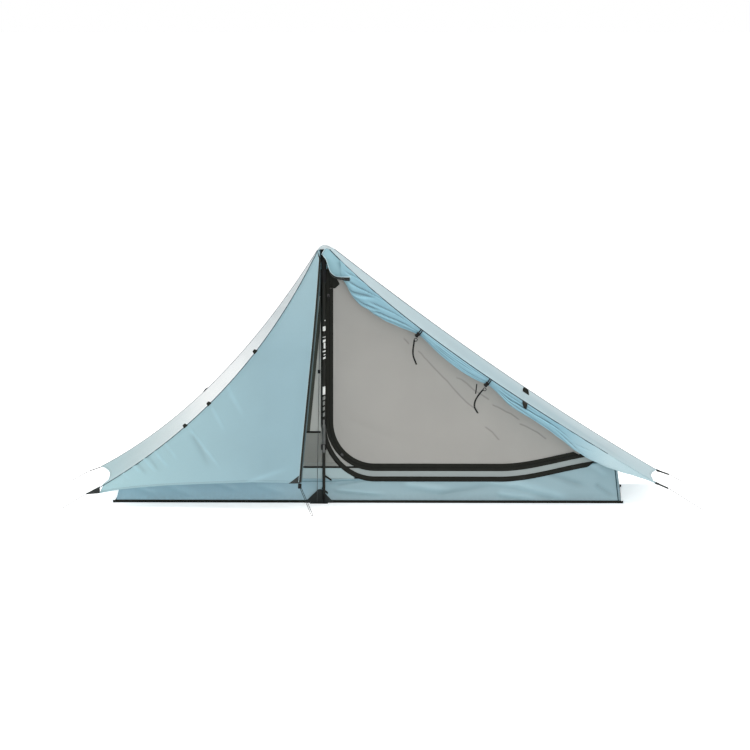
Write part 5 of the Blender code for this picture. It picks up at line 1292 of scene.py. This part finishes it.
form = form + GATHER_DEPTH * gather * np.cos(11 * a + 2.0) - TIE_SQUEEZE * gather
sunk = raised = np.zeros((ROLL_ROWS, ROLL_COLUMNS))
for at, centre, twist, wide, deep, first, last in ROLL_FOLDS:
    line = math.radians(at) + twist * (s - centre)
    reach = smoothstep((s - first) / 0.04) * smoothstep((last - s) / 0.04)
    form = form - deep * reach * bump(a, line, wide) + 0.5 * deep * reach * bump(a, line + 1.8 * wide, wide)
    # sunk marks each fold's valley for painted shade, and raised marks the crest beside it for a painted
    # highlight.
    sunk = np.maximum(sunk, reach * deep / 0.16 * bump(a, line, 0.6 * wide))
    raised = np.maximum(raised, reach * deep / 0.30 * bump(a, line + 1.6 * wide, 0.8 * wide))
small = np.sin(97.0 * s + 3.1 * a) * np.sin(41.0 * s - 2.3 * a)
form = form + CRUMPLE_ABOVE * small * (1 - smoothstep((s - 0.20) / 0.1))
form = form + (CRUMPLE + CRUMPLE_BELOW * smoothstep((s - 0.56) / 0.1)) * small
radius = (1.0 - FIRST_TURN_IN * smoothstep((turns - 0.62) / 0.5)
          - LAST_TURN_IN * smoothstep((turns - 1.1) / 1.3)) * form
slant = END_SLANT * (1 - smoothstep((s - 0.05) / 0.10)) * (0.5 - 0.5 * np.sin(a)) * np.exp(-turns)
wound = np.stack([middle[..., 0] + slant, middle[..., 1] + depth / 2 * radius * np.cos(a),
                  middle[..., 2] + height / 2 * radius * np.sin(a)], axis=-1)
seam_line = bezier(NEAR_RIGHT, share) - (0.0, SEAM_GAP, SEAM_GAP)
lip = between(seam_line, wound[:, 0], LIP_COLUMNS)[:, :-1]
# Painted shade in the folds' valleys and a painted highlight on their crests, kept on the mesh for the
# finish.
roll_shade_and_highlight = np.pad(np.clip(sunk - raised, -0.5, 1.0), ((0, 0), (LIP_COLUMNS - 1, 0)))
roll, roll_shade_and_highlight = facing(np.concatenate([lip, wound], axis=1), IN_FRONT, roll_shade_and_highlight)
rolled_door = cloth("rolled_door", roll, thickness=ROLL_CLOTH, uv=strip_uv(roll), folds=roll_shade_and_highlight)
dress(rolled_door, ROLL_BLUE, "fly_door_roll")
print("roll: longest turn", round(float(lengths(roll, 1).max()), 2), "m of cloth")

# %% Collar at the peak
# The zipped edge of the collar, in X and Z from the peak
COLLAR_EDGE = [(0.0125, -0.0065), (-0.0050, -0.0350), (0.0008, -0.0480), (0.0102, -0.062), (0.0211, -0.097),
               (0.0325, -0.1195), (0.0547, -0.1345), (0.085, -0.1365), (0.1243, -0.1368)]
COLLAR_ROWS, COLLAR_COLUMNS, TAPE_FROM, COIL_FROM = 90, 40, 12, 50
# How far its edge stands in front of the pole, how much further at its end, and the belly of the cloth
COLLAR_FRONT, COLLAR_BULGE, COLLAR_BELLY = 0.0357, 0.052, 0.010
COLLAR_TAPE_TOP, COLLAR_TAPE_GROWTH, COLLAR_COIL, COLLAR_PIPING = 0.003, 0.013, 0.0012, 0.0035
steps = np.linspace(0.0, len(COLLAR_EDGE) - 1, COLLAR_ROWS)
zip_edge = through([(place, *row) for place, row in enumerate(COLLAR_EDGE)], steps) + (POLE_X, PEAK_Z)
bulge = COLLAR_BULGE * smoothstep((zip_edge[:, 0] - POLE_X - 0.03) / 0.07)
edge_points = np.stack([zip_edge[:, 0], POLE_Y - COLLAR_FRONT - bulge, zip_edge[:, 1]], axis=-1)
ridge_part = bezier(NEAR_RIGHT, np.linspace(0.012, 0.150, COLLAR_ROWS)) - (0.0, SEAM_GAP, 0.0)
grid = between(edge_points, ridge_part, COLLAR_COLUMNS)
across = np.linspace(0.0, 1.0, COLLAR_COLUMNS)[None, :]
grid[..., 1] -= COLLAR_BELLY * np.sin(math.pi * across) * smoothstep(steps / 4.0)[:, None]
sew("collar_cloth", facing(grid, IN_FRONT), COLLAR_BLUE, "fly_door_collar")
down = np.cross(unit(np.gradient(edge_points, axis=0)), (0.0, -1.0, 0.0))
down = np.where(down[:, 2:] > 0.0, -down, down)
band = down * (COLLAR_TAPE_TOP + COLLAR_TAPE_GROWTH * smoothstep((steps - 4.6) / 1.2))[:, None]
tape_top = edge_points + (0.0, -0.0012, 0.0) - down * 0.001
zip_tape = strip("collar_zip", tape_top[TAPE_FROM:], (tape_top + band)[TAPE_FROM:], 5)
dress(zip_tape, BLACK_TAPE, slot="fly_door_collar")
coil_line = (tape_top + band * 0.5 + (0.0, -0.0016, 0.0))[COIL_FROM:]
coil = tube("collar_zip_coil", coil_line, COLLAR_COIL, sides=8)
dress(coil, GREY_CORD, slot="fly_door_collar")
piping = tape_top + (0.0, -0.0010, 0.0)
dress(strip("collar_piping", piping, piping - down * COLLAR_PIPING, 3), PIPING_PALE, slot="fly_door_collar")
print("collar zip", round(float(lengths(edge_points, 0)[-1]), 2), "m")

# %% [markdown]
# ## Trim of the fly
#
# A seam tape covers each ridge seam, and tabs of webbing are sewn on it for extra guylines; the far right
# one stands on the end panel instead. The four corners and the door's foot have black patches that spread
# the pull of their lines.

# %% Seam tapes and tabs
# Near seams: radius of their bound edge. Far seams are flat tapes: width on the end's side and on the
# other side, lift of the edges and of the middle.
SEAM_RADII = {"near_left": 0.0016, "near_right": 0.0021}
FLAT_TO_END, FLAT_TO_OTHER, FLAT_EDGE_LIFT, FLAT_LIFT = 0.0045, 0.0030, 0.0011, 0.0017
SEAM_FADES, TAB_THICK, TAB_INLAND = 1.10, 0.006, 0.30
# Where a tab starts and ends on its way from the seam, half its width, and where the seam's tabs stand
TABS = {"near_left": (-0.013, 0.013, 0.0105, (-0.504, -0.713, -0.819)),
        "far_left": (-0.004, 0.005, 0.0170, (-0.762,)),
        "near_right": (0.0, 2.7, 0.0130, (0.710,)), "far_right": (-0.002, 0.024, 0.0180, (0.746,))}
# The near right tab hangs over the roll: place, then its way from the seam
TAB_HANG = [(0.0, 0.0, -0.004, 0.001), (1.0, 0.0, -0.024, 0.000), (2.0, 0.0, -0.040, -0.010),
            (3.0, 0.0, -0.044, -0.031)]


def webbing_tab(name, spine, along, half_width):
    """A doubled piece of webbing along a spine, its corners rounded off."""
    t = np.linspace(0.0, 1.0, len(spine))[:, None]
    half = along * (half_width * np.sqrt(1.0 - 0.7 * t ** 4))
    return strip(name, spine - half, spine + half, 5, spine[0] + (0.0, -9.0, 1.0), TAB_THICK)


line_share = np.linspace(0.006, 1.0, 140)
lines = {name: bezier(ridge, line_share) for name, ridge in RIDGES.items()}
under_roll = bezier(NEAR_RIGHT, np.linspace(0.0, 1.0, 140)) + (0.0, -0.05, -0.20)
# Each seam: its cloth on the end's side and on the other side, and whether that faces front or rear
seams = {"near_left": (lines["far_left"], bezier(DOOR_EDGE, line_share), -1.0),
         "far_left": (lines["near_left"], lines["far_right"], 1.0),
         "near_right": (lines["far_right"], under_roll, -1.0),
         "far_right": (lines["near_right"], lines["far_left"], 1.0)}
for name, (end_line, other_line, way) in seams.items():
    line, slot = lines[name], f"ridge_tape_{name}"
    tangent = unit(np.gradient(line, axis=0))
    to_end, to_other = unit(end_line - line), unit(other_line - line)
    end_out = unit(np.cross(tangent, to_end))
    end_out = np.where(end_out[:, 2:] < 0.0, -end_out, end_out)
    other_out = unit(np.cross(tangent, to_other))
    other_out = np.where(other_out[:, 1:2] * way < 0.0, -other_out, other_out)
    out = unit(end_out + other_out)
    if name in SEAM_RADII:
        cut = int(np.searchsorted(np.abs(line[:, 0]), SEAM_FADES)) if name == "near_right" else len(line)
        bound = line + out * SEAM_GAP
        seam = tube(f"seam_{name}", bound[:cut], SEAM_RADII[name], sides=8, level=ABOVE)
        if cut < len(line):
            end = tube("seam_end", bound[cut - 1:], SEAM_RADII[name], sides=8, level=ABOVE)
            # The seam's last part wears the right end's finish, with its painted light.
            dress(end, RIGHT_PALE_PAINTED_LIGHT, slot=slot)
    else:
        grid = np.stack([line + to_end * FLAT_TO_END + end_out * FLAT_EDGE_LIFT, line + out * FLAT_LIFT,
                         line + to_other * FLAT_TO_OTHER + other_out * FLAT_EDGE_LIFT], axis=1)
        grid = facing(grid, line.mean(axis=0) + out.mean(axis=0) * 9.0)
        seam = cloth(f"seam_{name}", grid, uv=strip_uv(grid))
    dress(seam, SEAM_TEAL, slot)
    start, end, half_width, tabs = TABS[name]
    steps = np.linspace(start, end, 8)[:, None]
    for index, tab_x in enumerate(tabs):
        row = int(np.argmin(np.abs(line_share - share_at(RIDGES[name], tab_x))))
        if name == "near_right":
            spine = line[row] + through(TAB_HANG, steps[:, 0])
        elif name == "far_right":
            spine = line[row] + to_end[row] * TAB_INLAND + steps * (0.0, 0.0, 1.0)
        else:
            spine = line[row] + steps * end_out[row]
        dress(webbing_tab(f"tab_{name}_{index}", spine, tangent[row], half_width), BLACK_TAPE, slot=slot)
print("seam tapes:", len(seams))

# %% Corner patches
# Half the width of each patch at its base, and how far the base lies under the corner
PATCH_SHAPES = {"near_left": (0.016, 0.008), "far_left": (0.002, 0.0), "near_right": (0.006, 0.0),
                "far_right": (0.006, 0.0)}
PATCH_THICK, PATCH_OVERLAP, PATCH_TAPER, PATCH_TIP_HALF = 0.002, 0.004, 0.85, 0.004
for name, (wide, drop) in PATCH_SHAPES.items():
    corner, out, tip = corner_of(RIDGES[name])
    spine = span(corner - out * PATCH_OVERLAP - (0.0, 0.0, drop), tip, count=16)
    t = np.linspace(0.0, 1.0, 16)[:, None]
    half = np.array([0.0, 0.0, 1.0]) * np.maximum(wide * (1.0 - PATCH_TAPER * t), min(wide, PATCH_TIP_HALF))
    outside = spine.mean(axis=0) + (0.0, math.copysign(9.0, corner[1]), 0.0)
    patch = strip(f"corner_patch_{name}", spine + half, spine - half, 6, outside, PATCH_THICK)
    dress(patch, PATCH_BLACK, f"fly_patch_{name}")

# As shares of the door's height and width; the patch lies just in front of the cloth
DOOR_PATCH_REACH, DOOR_PATCH_WIDTH, DOOR_PATCH_LIFT = 0.045, 0.0585, (0.0, -0.0018, 0.0006)
rows = DOOR_START + (1 - DOOR_START) * np.linspace(1.0 - DOOR_PATCH_REACH, 1.0, 12)
right_line = bezier(DOOR_EDGE, rows) + DOOR_PATCH_LIFT
taper = DOOR_PATCH_WIDTH * (0.12 + 0.88 * np.linspace(0.0, 1.0, 12))[:, None]
left_line = right_line + (bezier(NEAR_LEFT, rows) - bezier(DOOR_EDGE, rows)) * taper
dress(strip("door_patch", left_line, right_line, 8, thickness=CLOTH), PATCH_BLACK, "fly_door_patch",
      body="fly_left_door")
print("patches:", len(PATCH_SHAPES) + 1)

# %% Peak cap
CAP_TOP, CAP_SPREAD, CAP_FALL = 1.1757, 1.05, 0.003
across, back = np.meshgrid(np.linspace(-1.0, 1.0, 33), np.linspace(-1.0, 1.0, 33), indexing="ij")
rims = [span(np.array(left[0]), right[0], count=33)
        for left, right in ((NEAR_LEFT, NEAR_RIGHT), (FAR_LEFT, FAR_RIGHT))]
cap = between(*rims, 33)
middle = cap[..., :2].mean(axis=(0, 1))
cap[..., :2] = middle + (cap[..., :2] - middle) * CAP_SPREAD
reach = (np.abs(across) ** 6 + np.abs(back) ** 6) ** (1 / 6)
cap[..., 2] += (CAP_TOP - cap[..., 2]) * (1 - np.clip(reach, 0.0, 1.0) ** 2.4) - CAP_FALL * reach ** 8
# The cap wears the left end's finish with its painted light.
dress(cloth("peak_cap", facing(cap, ABOVE)), LEFT_PALE_PAINTED_LIGHT, "fly_apex_cap")
print("cap at", round(float(cap[..., 2].max()), 3), "m")

# %% Ties
TOGGLE_RADIUS, TOGGLE_REACH, TOGGLE_DROP = 0.0098, 0.012, 0.014
TOGGLE_LEAN = np.array([math.sin(math.radians(50.0)), 0.0, math.cos(math.radians(50.0))])
LOOP_SPREAD, LOOP_RADIUS, RING_RADIUS, RING_WIRE = 0.0044, 1.2 * TIE_RADIUS, 0.0068, 0.0017
RING_FROM_TAIL = (0.0065, -0.004, 0.001)
# The second tie has a short spare end: X and Z of its top, its run, and its radius
SPARE_X, SPARE_Z, SPARE_RUN, SPARE_RADIUS = 0.4965, 0.556, (-0.0055, 0.0, -0.045), TIE_RADIUS * 1.3
for index, share in enumerate(TIE_SHARES, start=1):
    front = tie_front(share)
    middle, height, depth = roll_middle(share)
    along = unit((bezier(NEAR_RIGHT, share + 0.01) - bezier(NEAR_RIGHT, share - 0.01)) * (1.0, 0.0, 1.0))
    square = np.array([-along[2], 0.0, along[0]])
    t = np.linspace(0.0, 2 * math.pi, 48, endpoint=False)[:, None]
    ring = (middle + (depth / 2 + TIE_CLEARANCE) * np.cos(t) * (0.0, 1.0, 0.0)
            + (height / 2 * along[0] + TIE_CLEARANCE) * np.sin(t) * square)
    parts = [tube(f"loop_{way}", ring + along * LOOP_SPREAD * way, LOOP_RADIUS, sides=8,
                  level=tuple(along), closed=True) for way in (-1, 1)]
    t = np.linspace(-1.0, 1.0, 25)
    rounded = np.sqrt(np.clip(1.0 - np.abs(t) ** 8, 0.05, 1.0))
    profile = TOGGLE_RADIUS * rounded * (1 - 0.22 * bump(t, 0.0, 0.25))
    spine = front + TOGGLE_LEAN * (TOGGLE_REACH * t[:, None] - TOGGLE_DROP) - (0.0, 0.004, 0.0)
    parts.append(tube("toggle", spine, profile, sides=14))
    if index == 2:
        spare = (SPARE_X, middle[1], SPARE_Z) + span(0.0, 1.0, count=12) * SPARE_RUN
        parts.append(tube("short_end", spare, SPARE_RADIUS, sides=8))
    dress(join(f"tie_{index}", parts), BLACK_PLASTIC, f"tie_loop_{index}")
    t = np.linspace(0.0, 2 * math.pi, 32, endpoint=False)[:, None]
    centre = front + TAIL_START + RING_FROM_TAIL
    ring = centre + RING_RADIUS * np.concatenate([np.cos(t), 0 * t, np.sin(t)], axis=1)
    dress(tube(f"tie_ring_{index}", ring, RING_WIRE, sides=8, closed=True), BLACK_PLASTIC,
          slot=f"tie_loop_{index}")
print("ties:", len(TIE_SHARES))

# %% Strap, hem and foot patch
STRAP_HALF, STRAP_THICK, STRAP_TOP, STRAP_OVERLAP = 0.0075, 0.0015, PEAK_Z - 0.022, 0.03
HEM_TOP, HEM_GAP = 0.013, 0.0008
LOOP_MIDDLE_Z, LOOP_HALF, LOOP_THICK, PEG_LOOP_FRONT, PEG_LOOP_REAR = 0.0065, 0.0055, 0.0012, 0.013, 0.006
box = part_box("inner_apex_strap")
strap_y = (box[0][1] + box[1][1]) / 2
strap = span((POLE_X, strap_y, STRAP_TOP),
             (POLE_X, strap_y, inner_near("left", TOP_POINT)[0, 2] - STRAP_OVERLAP), count=30)
peak_strap = strip("peak_strap", strap - (STRAP_HALF, 0.0, 0.0), strap + (STRAP_HALF, 0.0, 0.0), 6,
                   thickness=STRAP_THICK)
dress(peak_strap, BLACK_TAPE, "inner_apex_strap")

half_x, half_y = FLOOR_LENGTH / 2 + HEM_GAP, FLOOR_WIDTH / 2 + HEM_GAP
hem_corners = np.array([(-half_x, -half_y, FLOOR_Z), (half_x, -half_y, FLOOR_Z), (half_x, half_y, FLOOR_Z),
                        (-half_x, half_y, FLOOR_Z), (-half_x, -half_y, FLOOR_Z)])
parts = []
for a, b in zip(hem_corners, hem_corners[1:]):
    line = span(a, b, count=60)
    parts.append(strip("hem_part", line, line + (0.0, 0.0, HEM_TOP - FLOOR_Z), 4,
                       line.mean(axis=0) * (20.0, 20.0, 0.0)))
turn = np.linspace(0.0, math.pi, 20)[:, None]
for side_x, side_y in ((1, 1), (-1, 1), (-1, -1), (1, -1)):
    out = unit(np.array([side_x, side_y, 0.0]))
    across = np.array([-out[1], out[0], 0.0])
    corner = np.array([side_x * half_x, side_y * half_y, LOOP_MIDDLE_Z])
    reach = PEG_LOOP_FRONT if side_y < 0 else PEG_LOOP_REAR
    line = corner + np.sin(turn) * reach * out + np.cos(turn) * PEG_LOOP_REAR * across
    parts.append(strip("peg_loop", line - (0.0, 0.0, LOOP_HALF), line + (0.0, 0.0, LOOP_HALF), 4,
                       corner + out * 9.0, LOOP_THICK))
dress(join("hem_and_peg_loops", parts), BLACK_TAPE, "floor_hem")

# The upright patch, from its foot to its top, and the tab that lies in front of it
FOOT_LEFT, FOOT_RIGHT, FOOT_TOP_LEFT, FOOT_TOP_RIGHT, FOOT_TOP_Z = -0.092, 0.047, -0.026, -0.012, 0.062
FOOT_TAB_HALF, FOOT_TAB_REACH = 0.041, 0.048
face = FRONT_Y - 0.0026
left_side, right_side = (span((POLE_X + foot_x, face, 0.0), (POLE_X + top_x, face, FOOT_TOP_Z), count=24)
                         for foot_x, top_x in ((FOOT_LEFT, FOOT_TOP_LEFT), (FOOT_RIGHT, FOOT_TOP_RIGHT)))
upright = strip("upright", left_side, right_side, 14, thickness=PATCH_THICK)
tab_x = POLE_X + (FOOT_LEFT + FOOT_RIGHT) / 2
tab_line = span((tab_x, face - 0.001, 0.001), (tab_x, face - FOOT_TAB_REACH, 0.001), count=12)
tab = strip("foot_tab", tab_line - (FOOT_TAB_HALF, 0.0, 0.0), tab_line + (FOOT_TAB_HALF, 0.0, 0.0), 14, ABOVE,
            PATCH_THICK)
dress(join("foot_patch", [upright, tab]), PATCH_BLACK, "pole_foot_patch")
print("hem", round(2 * (FLOOR_LENGTH + FLOOR_WIDTH), 2), "m round the floor")

# %% Tension cord
# Where it passes the pole's middle line in X and Y, at its top and at its foot
CORD_TOP, CORD_FOOT = (-0.0135, 0.007), (-0.031, -0.010)
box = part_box("tension_cord")
top = np.array([POLE_X + CORD_TOP[0], POLE_Y + CORD_TOP[1], box[1][2]])
foot = np.array([POLE_X + CORD_FOOT[0], POLE_Y + CORD_FOOT[1], box[0][2]])
braid = tube("tension_cord_braid", span(top, foot, count=60), LINE_RADIUS, level=ABOVE)
dress(braid, GREY_CORD, "tension_cord")
print("tension cord", round(float(np.linalg.norm(top - foot)), 2), "m")

# %% [markdown]
# ## The pole and the small hard parts
#
# The pole, its flick locks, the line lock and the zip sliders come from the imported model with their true
# shapes. They only need their finishes.

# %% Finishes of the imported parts
PACKED = {
    GRIP_FOAM: ["pole_grip"],
    POLE_BLACK: ["pole_upper_shaft", "pole_lower_shaft"],
    POLE_GREY: ["pole_middle_shaft", "pole_upper_lever", "pole_lower_lever"],
    BLACK_PLASTIC: ["pole_upper_clamp", "pole_lower_clamp", "pole_tip", "fly_apex_socket", "cord_lock",
                    "door_line_lock", "zip_pull_upper"],
    SLIDER_METAL: ["zip_slider_upper", "zip_slider_lower"],
}
for finish, names in PACKED.items():
    for name in names:
        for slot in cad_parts[name].material_slots:
            slot.material = finish
print("packed parts finished:", sum(map(len, PACKED.values())))

# %% [markdown]
# The upper tube of the pole has plain white marks printed on it: a dot, two blocks and some slanted dashes,
# the lower ones worn to grey. Each mark is a patch of a cylinder a hair wider than the tube.

# %% Marks on the pole
# First and last angle in degrees from the front, foot and head height, and the slant over its width
WHITE_MARKS = ((22, 52, 0.831, 0.836, 0.000), (-30, 60, 0.786, 0.807, 0.003), (-30, 60, 0.757, 0.760, 0.003),
               (-30, 60, 0.736, 0.747, 0.006), (-5, 50, 0.706, 0.733, 0.000), (-30, 60, 0.690, 0.697, 0.004),
               (-10, 60, 0.676, 0.680, 0.003), (-20, 60, 0.659, 0.668, 0.005), (-35, 45, 0.496, 0.533, 0.003))
WORN_MARKS = ((-35, 45, 0.472, 0.488, 0.006), (-30, 30, 0.448, 0.466, 0.004), (-30, 30, 0.424, 0.440, 0.004),
              (-30, 30, 0.396, 0.414, 0.004))
MARK_LIFT, MARK_THICK = 0.00025, 0.0002
low, high = (np.asarray(corner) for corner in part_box("pole_upper_shaft"))
centre, mark_radius = (low + high) / 2, (high[0] - low[0]) / 2 + MARK_LIFT
for name, rows, finish in (("pole_marks", WHITE_MARKS, WHITE_PRINT),
                           ("pole_marks_worn", WORN_MARKS, GREY_PRINT)):
    marks = []
    for first, last, foot_z, head_z, slant in rows:
        a = np.radians(np.linspace(first, last, 10))
        rim = np.stack([centre[0] + mark_radius * np.sin(a), centre[1] - mark_radius * np.cos(a),
                        slant * np.linspace(-0.5, 0.5, 10)], axis=-1)
        marks.append(strip("mark", rim + (0.0, 0.0, foot_z), rim + (0.0, 0.0, head_z), 4,
                           thickness=MARK_THICK))
    dress(join(name, marks), finish, slot="pole_upper_shaft")
print("marks:", len(WHITE_MARKS) + len(WORN_MARKS))
